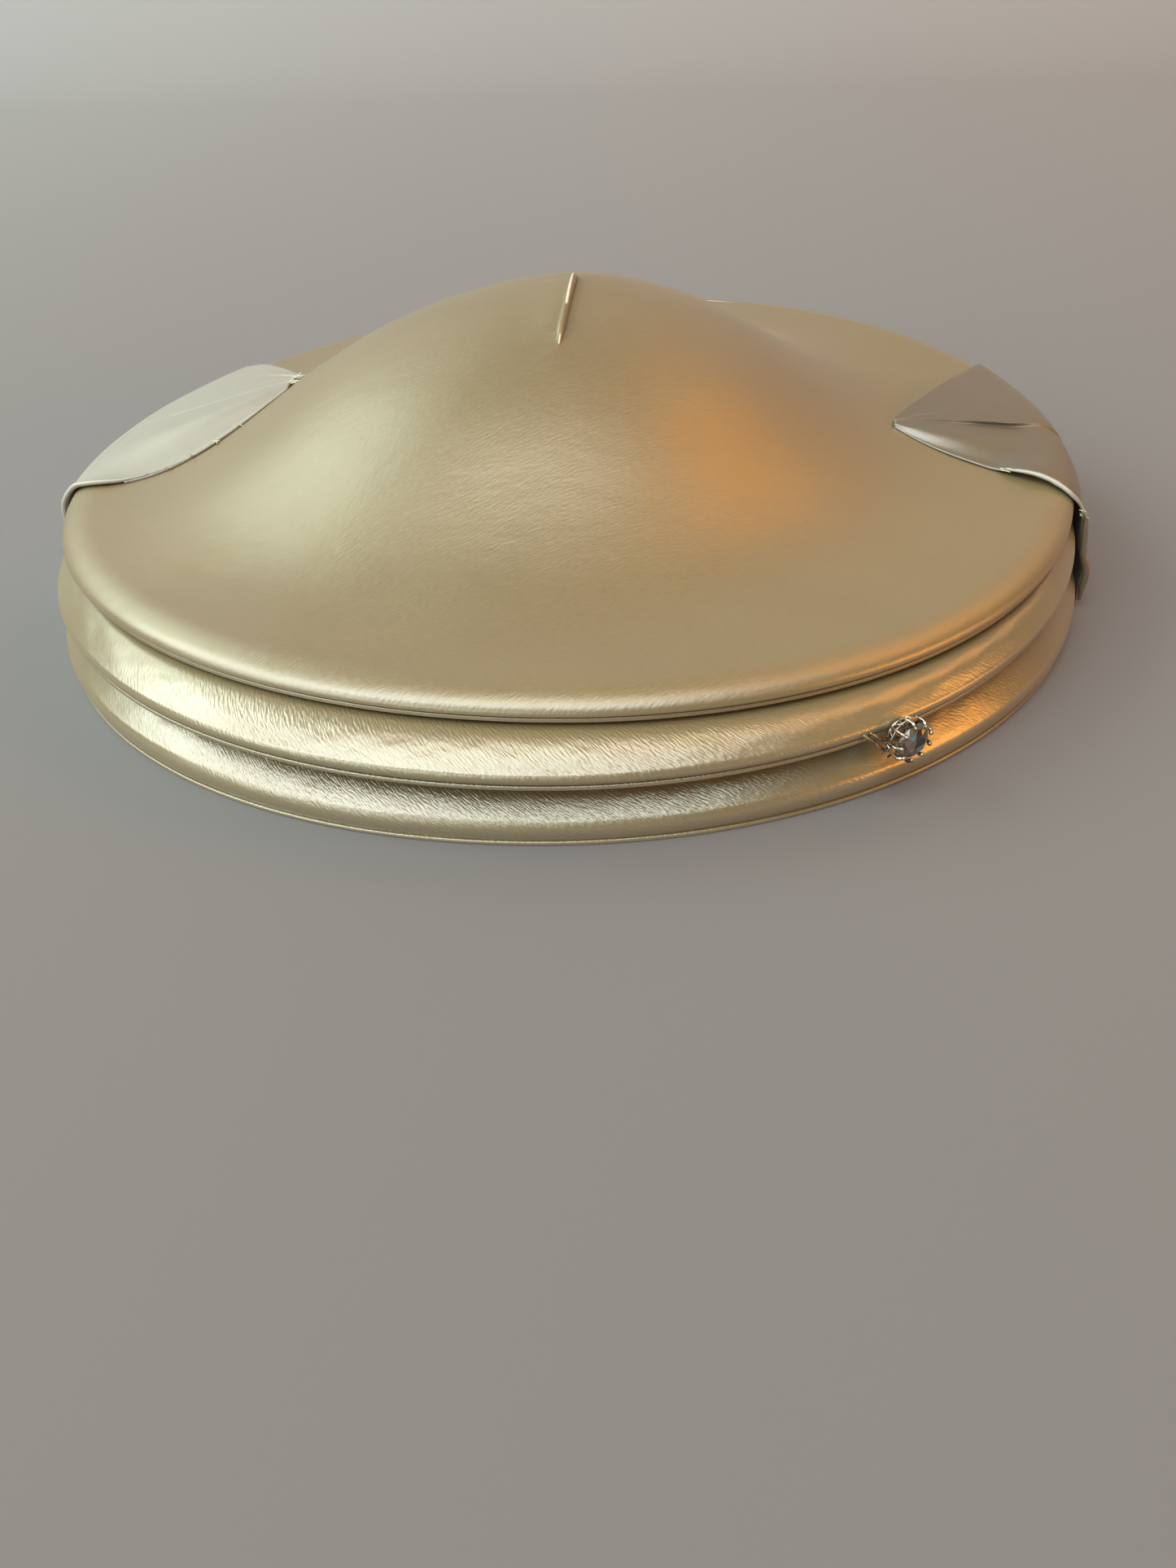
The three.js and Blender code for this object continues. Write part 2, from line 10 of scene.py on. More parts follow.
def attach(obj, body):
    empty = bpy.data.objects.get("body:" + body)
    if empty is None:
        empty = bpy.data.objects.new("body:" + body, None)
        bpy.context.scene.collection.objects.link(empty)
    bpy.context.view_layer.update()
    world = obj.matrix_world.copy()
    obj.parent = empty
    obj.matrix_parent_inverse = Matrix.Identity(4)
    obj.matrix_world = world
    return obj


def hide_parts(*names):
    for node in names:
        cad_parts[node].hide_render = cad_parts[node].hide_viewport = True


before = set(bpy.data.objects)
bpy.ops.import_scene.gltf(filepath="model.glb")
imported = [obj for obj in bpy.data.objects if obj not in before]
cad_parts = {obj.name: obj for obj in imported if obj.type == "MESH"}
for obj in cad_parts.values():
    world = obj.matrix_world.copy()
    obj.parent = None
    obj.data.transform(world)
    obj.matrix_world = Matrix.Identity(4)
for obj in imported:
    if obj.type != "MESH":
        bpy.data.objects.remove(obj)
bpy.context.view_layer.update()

MM = 0.001

# The hat's form, in millimetres, as in the solids

SQUARENESS = 2.05           # the power of the outlines' rounded oval
HALF_WIDTH = 135.0
HALF_DEPTH = 133.2
SET_BACK = 4.7
ROLL = 1.5                  # radius of a rolled edge
FACING = 1.15               # height of the facing edge under the roll
GROOVE = 0.6
FACING_WIDTH = 2.2
RUN_IN = 4.5                # how far the crown's underside runs in from its roll
LIP = FACING + 1.9 * ROLL   # a roll's top over its edge
WALL = 2.2
TOUCH = 0.35                # gap between parts that touch
LAYER_GAP = 1.0
OPENING = (84.0, 90.0)      # half width and half depth of the head opening
FOLD = math.radians(-88)    # the tuck's direction from the peak
TUCK_LENGTH = 38.0
TUCK_HEIGHT = 1.3
TUCK_WIDTH = 15.0
TUCK_ENDS = (0.12, 0.8)     # shares of its length where the tuck is up, and where it starts to fall
PEAK_LEAN = (0.2, 0.08)     # how much steeper the bell falls to the right and to the back
PLACE_STEPS = 40            # halvings of the search for a place on the crown


class Edge:
    """One brim's outline: half width, half depth, height, and its wave (right, back, saddle, twist)."""

    def __init__(self, half_width, half_depth, height, wave):
        self.half_width, self.half_depth = half_width, half_depth
        self.height, self.wave = height, wave
        self.centre_y = HALF_DEPTH + SET_BACK - half_depth


CROWN = Edge(HALF_WIDTH, HALF_DEPTH, 28.0, (0.0, 0.036, -0.0104, 0.013))
MIDDLE = Edge(HALF_WIDTH + 0.8, HALF_DEPTH + 4.7, 16.0, (0.013, 0.0094, -0.0008, 0.0143))
LOWER = Edge(HALF_WIDTH + 3.7, HALF_DEPTH + 4.0, 0.0, (0.0, 0.0, 0.0, 0.0))
PEAK = np.array([3.5, CROWN.centre_y + 9.6, 74.0])


class Spline:
    """A smooth curve through points, level at its end and level or free at its start."""

    def __init__(self, xs, ys, level_start):
        self.x, self.y = np.array(xs, float), np.array(ys, float)
        n = len(xs)
        h = np.diff(self.x)
        matrix, right = np.zeros((n, n)), np.zeros(n)
        for i in range(1, n - 1):
            matrix[i, i - 1:i + 2] = h[i - 1], 2 * (h[i - 1] + h[i]), h[i]
            right[i] = 6 * ((self.y[i + 1] - self.y[i]) / h[i] - (self.y[i] - self.y[i - 1]) / h[i - 1])
        if level_start:
            matrix[0, :2] = 2 * h[0], h[0]
            right[0] = 6 * (self.y[1] - self.y[0]) / h[0]
        else:
            matrix[0, 0] = 1
        matrix[-1, -2:] = h[-1], 2 * h[-1]
        right[-1] = -6 * (self.y[-1] - self.y[-2]) / h[-1]
        self.m = np.linalg.solve(matrix, right)

    def __call__(self, t):
        t = np.clip(t, self.x[0], self.x[-1])
        i = np.clip(np.searchsorted(self.x, t) - 1, 0, len(self.x) - 2)
        h = self.x[i + 1] - self.x[i]
        a, b = (self.x[i + 1] - t) / h, (t - self.x[i]) / h
        bend = ((a ** 3 - a) * self.m[i] + (b ** 3 - b) * self.m[i + 1]) * h * h / 6
        return a * self.y[i] + b * self.y[i + 1] + bend


BELL = Spline([0, 0.1, 0.2, 0.3, 0.42, 0.56, 0.72, 0.88, 1],
              [1, 0.96, 0.88, 0.772, 0.602, 0.346, 0.107, 0.01, 0], True)
BAND = Spline([0, 0.15, 0.3, 0.5, 0.75, 1.0, 1.3], [0, 0.23, 0.44, 0.67, 0.88, 0.975, 1], False)
BAND_STEEP = Spline([0, 0.17, 0.345, 0.52, 0.75, 1.3], [0, 0.42, 0.76, 0.92, 0.99, 1], False)


def smooth(t, low, high):
    t = np.clip((t - low) / (high - low), 0, 1)
    return t * t * (3 - 2 * t)


def outline(half_width, half_depth, angle):
    across = np.abs(np.cos(angle) / half_width) ** SQUARENESS
    deep = np.abs(np.sin(angle) / half_depth) ** SQUARENESS
    return (across + deep) ** (-1 / SQUARENESS)


def edge_height(edge, angle):
    right, back, saddle, twist = edge.wave
    wave = right * np.cos(angle) + back * np.sin(angle)
    wave = wave + saddle * np.cos(2 * angle) + twist * np.sin(2 * angle)
    return edge.height + HALF_WIDTH * wave


def edge_point(edge, angle, inset, z):
    r = outline(edge.half_width, edge.half_depth, angle) - inset
    return np.stack([r * np.cos(angle), edge.centre_y + r * np.sin(angle), z + 0 * angle], -1)


def opening_point(angle, inset, z):
    r = outline(*OPENING, angle) - inset
    return np.stack([r * np.cos(angle), CROWN.centre_y + r * np.sin(angle), z + 0 * angle], -1)


def roll_top(edge, angle):
    return edge_point(edge, angle, ROLL, edge_height(edge, angle) + LIP)


def tuck_rise(x, y, angle):
    away = np.hypot(x - PEAK[0], y - PEAK[1])
    turned = np.arctan2(np.sin(FOLD - angle), np.cos(FOLD - angle))
    aside, along = away * np.sin(turned), away * np.cos(turned)
    rising, falling = TUCK_ENDS
    ends = smooth(along, 0, rising * TUCK_LENGTH) * (1 - smooth(along, falling * TUCK_LENGTH, TUCK_LENGTH))
    rise = TUCK_HEIGHT * ends * np.exp(-(aside / (TUCK_WIDTH / 2)) ** 2)
    return np.where((turned < -1e-6) | (turned > math.pi / 2), 0, rise)


def crown_top(reach, angle, tuck=True):
    rim = roll_top(CROWN, angle)
    point = PEAK + (rim - PEAK) * reach[..., None]
    lean = PEAK_LEAN[0] * np.cos(angle) + PEAK_LEAN[1] * np.sin(angle)
    rise = BELL(np.minimum(1, reach * (1 + lean * (1 - reach))))
    point[..., 2] = rim[..., 2] + (PEAK[2] - rim[..., 2]) * rise
    if tuck:
        point[..., 2] += tuck_rise(point[..., 0], point[..., 1], angle)
    return point


def crown_place(x, y):
    """The reach and direction of the crown's surface over a place inside its edge."""
    low, high = np.zeros_like(x), np.ones_like(x)
    for _ in range(PLACE_STEPS):
        reach = (low + high) / 2
        centre_x, centre_y = PEAK[0] * (1 - reach), PEAK[1] + (CROWN.centre_y - PEAK[1]) * reach
        angle = np.arctan2(y - centre_y, x - centre_x)
        full = outline(CROWN.half_width, CROWN.half_depth, angle) - ROLL
        short = np.hypot(x - centre_x, y - centre_y) > full * reach
        low, high = np.where(short, reach, low), np.where(short, high, reach)
    return (low + high) / 2, angle


def crown_height(x, y):
    return crown_top(*crown_place(x, y))[..., 2]


def cloth_height(x, y):
    """The height of the crown's cloth, which stands a little over its base near the edge."""
    reach, angle = crown_place(x, y)
    return crown_top(reach, angle)[..., 2] + swell(reach)


# Mesh helpers

def add_mesh(name, verts, faces, uvs=None, smooth_faces=True):
    mesh = bpy.data.meshes.new(name)
    mesh.from_pydata([tuple(v) for v in np.asarray(verts) * MM], [], faces)
    mesh.validate()
    if uvs is not None:
        layer = mesh.uv_layers.new(name="cloth")
        flat = np.array([uv for face in uvs for uv in face], float).ravel()
        layer.data.foreach_set("uv", flat)
    mesh.polygons.foreach_set("use_smooth", [smooth_faces] * len(mesh.polygons))
    mesh.update()
    piece = bpy.data.objects.new(name, mesh)
    bpy.context.collection.objects.link(piece)
    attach(piece, "root")
    return piece


def grid(rows, uv, close_rows, close_cols, poles=False, flip=False):
    """Vertices, quads and their UVs from a grid of points. uv has one more row and column where the
    grid closes. With poles, the first and last column are single points."""
    count, width = rows.shape[:2]
    verts = rows.reshape(-1, 3)
    faces, uvs = [], []
    for i in range(count if close_rows else count - 1):
        n = (i + 1) % count
        for j in range(width if close_cols else width - 1):
            k = (j + 1) % width
            quad = [i * width + j, n * width + j, n * width + k, i * width + k]
            corner = [uv[i, j], uv[i + 1, j], uv[i + 1, j + 1], uv[i, j + 1]]
            if poles and j == 0:
                quad, corner = [0, quad[2], quad[3]], [corner[0], corner[2], corner[3]]
            elif poles and k == width - 1:
                quad, corner = [quad[0], quad[1], width - 1], corner[:3]
            if flip:
                quad, corner = quad[::-1], corner[::-1]
            faces.append(quad)
            uvs.append(corner)
    if not poles:
        return verts, faces, uvs
    used = sorted({v for face in faces for v in face})
    place = {v: i for i, v in enumerate(used)}
    return verts[used], [[place[v] for v in face] for face in faces], uvs


# A tube's rounded end: its length and width as shares of the radius
END_LENGTH = 0.6
END_WIDTH = 0.55


def tube(points, radii, sides=8, round_ends=True):
    """A closed tube along points."""
    points = np.asarray(points, float)
    radii = np.broadcast_to(np.asarray(radii, float), (len(points),)).copy()
    tangents = np.gradient(points, axis=0)
    tangents /= np.linalg.norm(tangents, axis=1)[:, None] + 1e-12
    side = np.cross(tangents[0], [0.3, 0.2, 0.93])
    side /= np.linalg.norm(side)
    if round_ends:
        first = points[0] - tangents[0] * radii[0] * END_LENGTH
        last = points[-1] + tangents[-1] * radii[-1] * END_LENGTH
        points = np.vstack([first, points, last])
        tangents = np.vstack([tangents[0], tangents, tangents[-1]])
        radii = np.concatenate([[radii[0] * END_WIDTH], radii, [radii[-1] * END_WIDTH]])
    verts = []
    for point, tangent, radius in zip(points, tangents, radii):
        side = side - tangent * np.dot(side, tangent)
        side /= np.linalg.norm(side)
        other = np.cross(tangent, side)
        for s in range(sides):
            turn = 2 * math.pi * s / sides
            verts.append(point + radius * (side * math.cos(turn) + other * math.sin(turn)))
    faces = []
    for i in range(len(points) - 1):
        for s in range(sides):
            t = (s + 1) % sides
            faces.append([i * sides + s, i * sides + t, (i + 1) * sides + t, (i + 1) * sides + s])
    faces.append(list(range(sides))[::-1])
    faces.append([(len(points) - 1) * sides + s for s in range(sides)])
    return np.array(verts), faces


def gather_parts(parts):
    """One list of vertices and faces from several."""
    verts, faces, start = [], [], 0
    for part_verts, part_faces in parts:
        verts.append(part_verts)
        faces.extend([[v + start for v in face] for face in part_faces])
        start += len(part_verts)
    return np.vstack(verts), faces


# Materials

def new_material(name):
    material = bpy.data.materials.new(name)
    material.use_nodes = True
    nodes, links = material.node_tree.nodes, material.node_tree.links
    return material, nodes, links, nodes["Principled BSDF"]


def set_inputs(node, values):
    for key, value in values.items():
        node.inputs[key].default_value = value


def colour_ramp(nodes, links, factor, stops):
    """The output of a colour ramp. stops are (position, colour) from the lowest to the highest."""
    ramp = nodes.new("ShaderNodeValToRGB")
    elements = ramp.color_ramp.elements
    for element, (position, colour) in zip((elements[0], elements[1]), (stops[0], stops[-1])):
        element.position, element.color = position, (*colour, 1)
    for position, colour in stops[1:-1]:
        elements.new(position).color = (*colour, 1)
    links.new(factor, ramp.inputs["Fac"])
    return ramp.outputs["Color"]


class Cloth:
    """The nodes of a satin, made one by one."""

    def __init__(self, name, coordinates):
        self.material, self.nodes, self.links, self.shader = new_material(name)
        self.place = self.nodes.new("ShaderNodeTexCoord").outputs[coordinates]

    def noise(self, turn, size, detail):
        """Noise whose spots are size metres long and wide, turned by an angle in degrees."""
        mapping = self.nodes.new("ShaderNodeMapping")
        mapping.vector_type = "TEXTURE"
        set_inputs(mapping, {"Rotation": (0, 0, math.radians(turn)), "Scale": size})
        self.links.new(self.place, mapping.inputs["Vector"])
        node = self.nodes.new("ShaderNodeTexNoise")
        set_inputs(node, {"Scale": 1.0, "Detail": detail})
        self.links.new(mapping.outputs["Vector"], node.inputs["Vector"])
        return node.outputs["Fac"]

    def towards_front(self):
        """Full over the front of the hat and weak at its sides."""
        parts = self.nodes.new("ShaderNodeSeparateXYZ")
        self.links.new(self.nodes.new("ShaderNodeTexCoord").outputs["Object"], parts.inputs[0])
        left = self.spread(parts.outputs[0], -0.085, -0.03, 0.2, 1.0)
        right = self.spread(parts.outputs[0], 0.03, 0.08, 1.0, 0.3)
        return self.combine("MULTIPLY", left, right)

    def combine(self, operation, a, b):
        node = self.nodes.new("ShaderNodeMath")
        node.operation = operation
        for socket, value in zip(node.inputs, (a, b)):
            if isinstance(value, (int, float)):
                socket.default_value = value
            else:
                self.links.new(value, socket)
        return node.outputs[0]

    def spread(self, value, low, high, to_low, to_high):
        node = self.nodes.new("ShaderNodeMapRange")
        set_inputs(node, {"From Min": low, "From Max": high, "To Min": to_low, "To Max": to_high})
        self.links.new(value, node.inputs["Value"])
        return node.outputs["Result"]

    def bump(self, height, distance, strength, under=None):
        node = self.nodes.new("ShaderNodeBump")
        set_inputs(node, {"Strength": strength, "Distance": distance})
        self.links.new(height, node.inputs["Height"])
        if under is not None:
            self.links.new(under, node.inputs["Normal"])
        return node.outputs["Normal"]

    def colour(self, factor, dark, light):
        node = self.nodes.new("ShaderNodeMix")
        node.data_type = "RGBA"
        set_inputs(node, {"A": (*dark, 1), "B": (*light, 1)})
        self.links.new(factor, node.inputs["Factor"])
        return node.outputs["Result"]


# The sizes of the satin's marks in metres: along the grain, across it, and through the cloth
FLOATS = (0.0016, 0.0004, 0.0009)
WEFTS = (0.0011, 0.00026, 0.0009)
PUCKERS = (0.0018, 0.00048, 0.0012)
BROAD = (0.07, 0.05, 0.05)
LUMPS = (0.013, 0.009, 0.011)
# How deep they are in metres
LUMP_DEPTH = 0.0005
PUCKER_DEPTH = 0.0003
WEAVE_DEPTH = 0.00004


def satin(name, coordinates, grain, tones, strokes, roughness, metallic, threads):
    """Satin. grain is the threads' direction in degrees, tones its darker and lighter colour, strokes
    how strongly it is puckered across the grain, and threads how strongly its weave shows."""
    cloth = Cloth(name, coordinates)
    floats = cloth.noise(grain, FLOATS, 1.0)
    wefts = cloth.noise(grain + 90, WEFTS, 1.0)
    puckers = cloth.noise(grain + 4, PUCKERS, 1.0)
    broad = cloth.noise(0, BROAD, 3.0)
    lumps = cloth.noise(25, LUMPS, 2.0)
    shade = cloth.combine("ADD", cloth.spread(broad, 0.3, 0.7, 0.0, 0.5),
                          cloth.spread(floats, 0.2, 0.8, 0.1, 0.4))
    cloth.links.new(cloth.colour(shade, *tones), cloth.shader.inputs["Base Color"])
    gloss = cloth.combine("ADD", cloth.spread(floats, 0.2, 0.8, roughness - 0.03, roughness + 0.03),
                          cloth.spread(puckers, 0.2, 0.8, -0.02, 0.02))
    cloth.links.new(gloss, cloth.shader.inputs["Roughness"])
    weave = cloth.combine("ADD", cloth.combine("MULTIPLY", floats, 0.6),
                          cloth.combine("MULTIPLY", wefts, 0.4))
    puckered = cloth.combine("MULTIPLY", cloth.combine("SUBTRACT", puckers, 0.5), cloth.towards_front())
    normal = cloth.bump(lumps, LUMP_DEPTH, 0.4)
    normal = cloth.bump(puckered, PUCKER_DEPTH, strokes, normal)
    normal = cloth.bump(weave, WEAVE_DEPTH, threads, normal)
    cloth.links.new(normal, cloth.shader.inputs["Normal"])
    set_inputs(cloth.shader, {"Metallic": metallic, "IOR": 2.0, "Specular IOR Level": 1.0,
                              "Sheen Weight": 0.12, "Sheen Roughness": 0.35,
                              "Sheen Tint": (1.0, 0.96, 0.88, 1)})
    return cloth.material


IVORY = ((0.214, 0.151, 0.064), (0.275, 0.198, 0.088))
BAND_IVORY = ((0.25, 0.19, 0.096), (0.32, 0.25, 0.13))
# The tabs are one cloth, the satin's matte back side, which is greyer than its face. The left tab's paler
# tones are painted light, and the right tab's dark taupe is painted shade.
PALE_PAINTED_LIT = ((0.30, 0.28, 0.24), (0.352, 0.33, 0.29))
TAUPE_PAINTED_SHADE = ((0.09, 0.065, 0.034), (0.118, 0.088, 0.048))
crown_satin = satin("satin_crown", "Object", 38, IVORY, 0.25, 0.4, 0.1, 0.3)
band_satin = satin("satin_band", "UV", 42, BAND_IVORY, 0.62, 0.31, 0.1, 0.1)
# The tab satins: pale for the painted light on the left tab, taupe for the painted shade on the right.
painted_lit_satin = satin("satin_painted_lit_tab", "UV", 90, PALE_PAINTED_LIT, 0.1, 0.5, 0.0, 0.0)
painted_shade_satin = satin("satin_painted_shade_tab", "UV", 90, TAUPE_PAINTED_SHADE, 0.1, 0.45, 0.0, 0.0)


def grained_material(name, scale, detail, stops):
    """A material whose colour varies with a fine grain, and the parts that it is made of."""
    material, nodes, links, shader = new_material(name)
    noise = nodes.new("ShaderNodeTexNoise")
    set_inputs(noise, {"Scale": scale, "Detail": detail})
    links.new(nodes.new("ShaderNodeTexCoord").outputs["Object"], noise.inputs["Vector"])
    links.new(colour_ramp(nodes, links, noise.outputs["Fac"], stops), shader.inputs["Base Color"])
    return material, nodes, links, shader, noise


def thread_and_highlight_material():
    material, _, _, shader, _ = grained_material(
        "thread_and_highlight", 900, 2, [(0.0, (0.62, 0.55, 0.40)), (1.0, (0.92, 0.89, 0.80))])
    set_inputs(shader, {"Roughness": 0.5, "Sheen Weight": 0.3})
    return material


def silver_material():
    material, nodes, links, shader, noise = grained_material(
        "silver", 700, 3, [(0.35, (0.12, 0.095, 0.07)), (0.6, (0.62, 0.56, 0.47))])
    bump = nodes.new("ShaderNodeBump")
    set_inputs(bump, {"Strength": 0.25, "Distance": 0.0001})
    links.new(noise.outputs["Fac"], bump.inputs["Height"])
    links.new(bump.outputs["Normal"], shader.inputs["Normal"])
    set_inputs(shader, {"Metallic": 1.0, "Roughness": 0.22})
    return material


def crystal_material():
    material, nodes, links, shader = new_material("crystal")
    cells = nodes.new("ShaderNodeTexVoronoi")
    set_inputs(cells, {"Scale": 520})
    links.new(nodes.new("ShaderNodeTexCoord").outputs["Object"], cells.inputs["Vector"])
    parts = nodes.new("ShaderNodeSeparateColor")
    links.new(cells.outputs["Color"], parts.inputs["Color"])
    # The cells' dark, taupe, teal and pale colours are painted reflections in the facets.
    colour = colour_ramp(nodes, links, parts.outputs["Red"], [
        (0.0, (0.015, 0.012, 0.012)), (0.3, (0.10, 0.075, 0.06)), (0.5, (0.26, 0.19, 0.15)),
        (0.66, (0.10, 0.34, 0.38)), (0.85, (0.05, 0.04, 0.04)), (1.0, (0.45, 0.36, 0.30))])
    links.new(colour, shader.inputs["Base Color"])
    set_inputs(shader, {"Roughness": 0.06, "Metallic": 0.35, "Specular IOR Level": 0.8,
                        "Coat Weight": 0.8, "Coat Roughness": 0.03})
    return material


# One pale material for the loose threads and for the painted highlight on the tuck's edge.
thread_and_highlight = thread_and_highlight_material()
silver = silver_material()
crystal = crystal_material()


def finish_piece(piece, material, slot, *nodes):
    piece.data.materials.append(material)
    if nodes:
        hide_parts(*nodes)
    return piece


# Crown and brims

WAVES = (5, 7, 11, 16, 23, 37, 61)
# The roll's lower half: how far it turns under in degrees, and how far in, in millimetres
UNDER_TURN = 76
UNDER_REACH = 1.9
# The unevenness of the roll and of the facing edge
ROLL_WAVE, FACING_WAVE = 0.08, 0.05
# The facing edge and the flat underside: insets, and heights as shares of the facing's height
FACING_PROFILE = [(1.15, 0.93), (0.85, 0.9), (0.66, 0.84), (0.58, 0.7), (0.56, 0.45), (0.6, 0.2),
                  (0.72, 0.06), (0.95, 0.0), (2.0, 0.0), (GROOVE + 0.4 + FACING_WIDTH, 0.0)]


def hand_wave(angle, seed, size):
    """Small unevenness along an edge, the same on every run."""
    chance = random.Random(seed)
    total = 0 * angle
    for turns in WAVES:
        strength = math.sin(chance.uniform(0, 6))
        total = total + strength * np.sin(turns * angle + chance.uniform(0, 6.28)) / turns ** 0.5
    return size * total


def edge_section(edge, angle, wide, tall, centre, end, seed):
    """Columns of points from the roll's upper end, end degrees up from its outermost line, down to
    the facing edge and the flat underside. wide, tall and centre shape the roll's upper part."""
    base = edge_height(edge, angle)
    uneven = hand_wave(angle, seed, ROLL_WAVE)
    wavy = hand_wave(angle, seed + 5, FACING_WAVE)
    columns = []
    for turn in np.radians(np.linspace(end, -UNDER_TURN, 22)):
        up = tall if turn > 0 else (centre - 0.95 * FACING) / math.sin(math.radians(UNDER_TURN))
        across = wide if turn > 0 else np.minimum(wide, UNDER_REACH)
        inset = across * (1 - math.cos(turn)) - uneven * max(0, math.cos(turn))
        columns.append(edge_point(edge, angle, inset, base + centre + up * math.sin(turn)))
    for inset, up in FACING_PROFILE:
        loose = wavy if inset < 0.9 else 0 * angle
        columns.append(edge_point(edge, angle, inset - loose, base + up * FACING))
    return columns


# How far the crown's cloth stands over its base near the edge, and the roll that it ends in
CROWN_SWELL = 1.7
CROWN_ROLL = dict(wide=8.5, tall=3.8, centre=1.95, end=84)


def swell(reach):
    return CROWN_SWELL * smooth(reach, 0.5, 0.9)


ROUND = 720
# The crown's rows from the peak to its roll, and those of its hollow, as shares of the way out
CROWN_ROWS = np.array([*np.linspace(0, 0.1, 7), *np.linspace(0.115, 0.9, 56), *np.linspace(0.908, 0.95, 6)])
HOLLOW_ROWS = (0.88, 0.8, 0.72, 0.64, 0.56, 0.48, 0.4, 0.32, 0.24, 0.16, 0.08, 0)
# The slow unevenness of the crown's cloth, larger and smaller
SETTLE = (0.22, 0.12)
# The ridge along the tuck's fold: its height, its distance from the fold and its width
RIDGE_HEIGHT, RIDGE_ASIDE, RIDGE_WIDTH = 0.6, 0.2, 0.6
# The fold's lip, as shares of its height: how far it bulges, and how far under it comes back
LIP_BULGE, LIP_UNDER = 0.28, 0.1
LIP_STEPS, LIP_TURN = 8, 0.005
# The crease from the tuck's foot, to the front and a little left
CREASE_DEPTH, CREASE_WIDTH, CREASE_RUN = 0.35, 1.8, (-0.62, -0.78)


def crease_rise(x, y):
    foot = PEAK[:2] + TUCK_LENGTH * np.array([math.cos(FOLD), math.sin(FOLD)])
    ahead = (x - foot[0]) * CREASE_RUN[0] + (y - foot[1]) * CREASE_RUN[1]
    aside = (x - foot[0]) * CREASE_RUN[1] - (y - foot[1]) * CREASE_RUN[0]
    ends = smooth(ahead, -3, 2) * (1 - smooth(ahead, 4, 16))
    return CREASE_DEPTH * ends * np.exp(-(aside / CREASE_WIDTH) ** 2)


def crown_piece():
    fold = FOLD % (2 * math.pi)
    step = 2 * math.pi / ROUND
    even = np.arange(ROUND) * step
    even = even[np.abs(even - fold) > 1.6 * step]
    lip = np.linspace(0, 1, LIP_STEPS)
    angles = np.concatenate([even, fold + LIP_TURN * lip])
    share = np.concatenate([np.full(len(even), -1.0), lip])
    order = np.argsort(angles)
    angles, share = angles[order], share[order]
    at_fold = share >= 0
    grid_reach, grid_angle = np.meshgrid(CROWN_ROWS, angles)
    bare = crown_top(grid_reach, grid_angle, tuck=False)
    rise = tuck_rise(bare[..., 0], bare[..., 1], np.where(at_fold[:, None], FOLD, grid_angle))
    away = np.hypot(bare[..., 0] - PEAK[0], bare[..., 1] - PEAK[1])
    top = bare.copy()
    top[..., 2] += rise
    # The folded cloth stands up in a thin ridge along its edge
    turned = np.arctan2(np.sin(FOLD - grid_angle), np.cos(FOLD - grid_angle))
    aside = away * np.sin(np.clip(turned, 0, 0.6))
    full = RIDGE_HEIGHT * smooth(rise, 0, 0.4)
    ridge = full * np.exp(-((aside - RIDGE_ASIDE) / RIDGE_WIDTH) ** 2)
    top[..., 2] += np.where(at_fold[:, None], 0, ridge)
    rise = rise + np.where(at_fold[:, None], full * math.exp(-(RIDGE_ASIDE / RIDGE_WIDTH) ** 2), 0)
    # The fold's lip: it rounds over to the right and comes back under itself
    sideways = np.array([-math.sin(FOLD), math.cos(FOLD), 0])
    turn = share * math.pi
    for i in np.nonzero(at_fold)[0]:
        height = rise[i] / 2
        top[i, :, 2] = bare[i, :, 2] + height * (1 + math.cos(turn[i]))
        out = LIP_BULGE * rise[i] * math.sin(turn[i]) + LIP_UNDER * rise[i] * share[i]
        top[i] += sideways * out[:, None]
    top[..., 2] += crease_rise(top[..., 0], top[..., 1])
    # Large, slow unevenness of the cloth over its base
    x, y = top[..., 0], top[..., 1]
    settle = SETTLE[0] * np.sin(x / 17 + y / 29 + 1) * np.sin(y / 21 - x / 47 + 2)
    settle = settle + SETTLE[1] * np.sin(x / 9 - y / 13)
    top[..., 2] += settle * smooth(away, 6, 40) * (1 - smooth(grid_reach, 0.82, 0.94)) + swell(grid_reach)
    columns = [top[:, j] for j in range(len(CROWN_ROWS))]
    columns += edge_section(CROWN, angles, seed=11, **CROWN_ROLL)
    lip_end = edge_point(CROWN, angles, ROLL + RUN_IN, 0)
    lip_end[:, 2] = crown_height(lip_end[:, 0], lip_end[:, 1]) - WALL
    columns.append(lip_end)
    for inner in HOLLOW_ROWS:
        under = crown_top(np.full_like(angles, inner), angles, tuck=False)
        under[:, 2] -= WALL
        columns.append(under)
    rows = np.stack(columns, 1)
    closing = np.concatenate([rows, rows[:1]])
    return add_mesh("crown_shell", *grid(rows, closing[..., :2] * MM, True, False, poles=True))


# The roll over a brim's edge, in shares of the room under the layer above, and its end in degrees
BRIM_ROLL = dict(wide=0.21, tall=0.22, centre=0.31, end=41.6)
# The band's underside, in from its outside and below it
UNDER_IN, UNDER_DOWN = 2.4, 1.6
# The faint ripples round a band: height, number round the hat, and slant
RIPPLES = ((0.04, 43, 9), (0.03, 71, -14))
# The band's rows: from the head opening, over its flat part, and down its slope
OPENING_ROWS = (0.25, 0.5, 0.75)
BAND_ROWS = (*np.linspace(1.2, 0.86, 7), *np.linspace(0.82, 0.015, 28))
UNDER_ROWS = (0.1, 0.3, 0.55, 0.8, 1.1)
BAND_END = 1.25


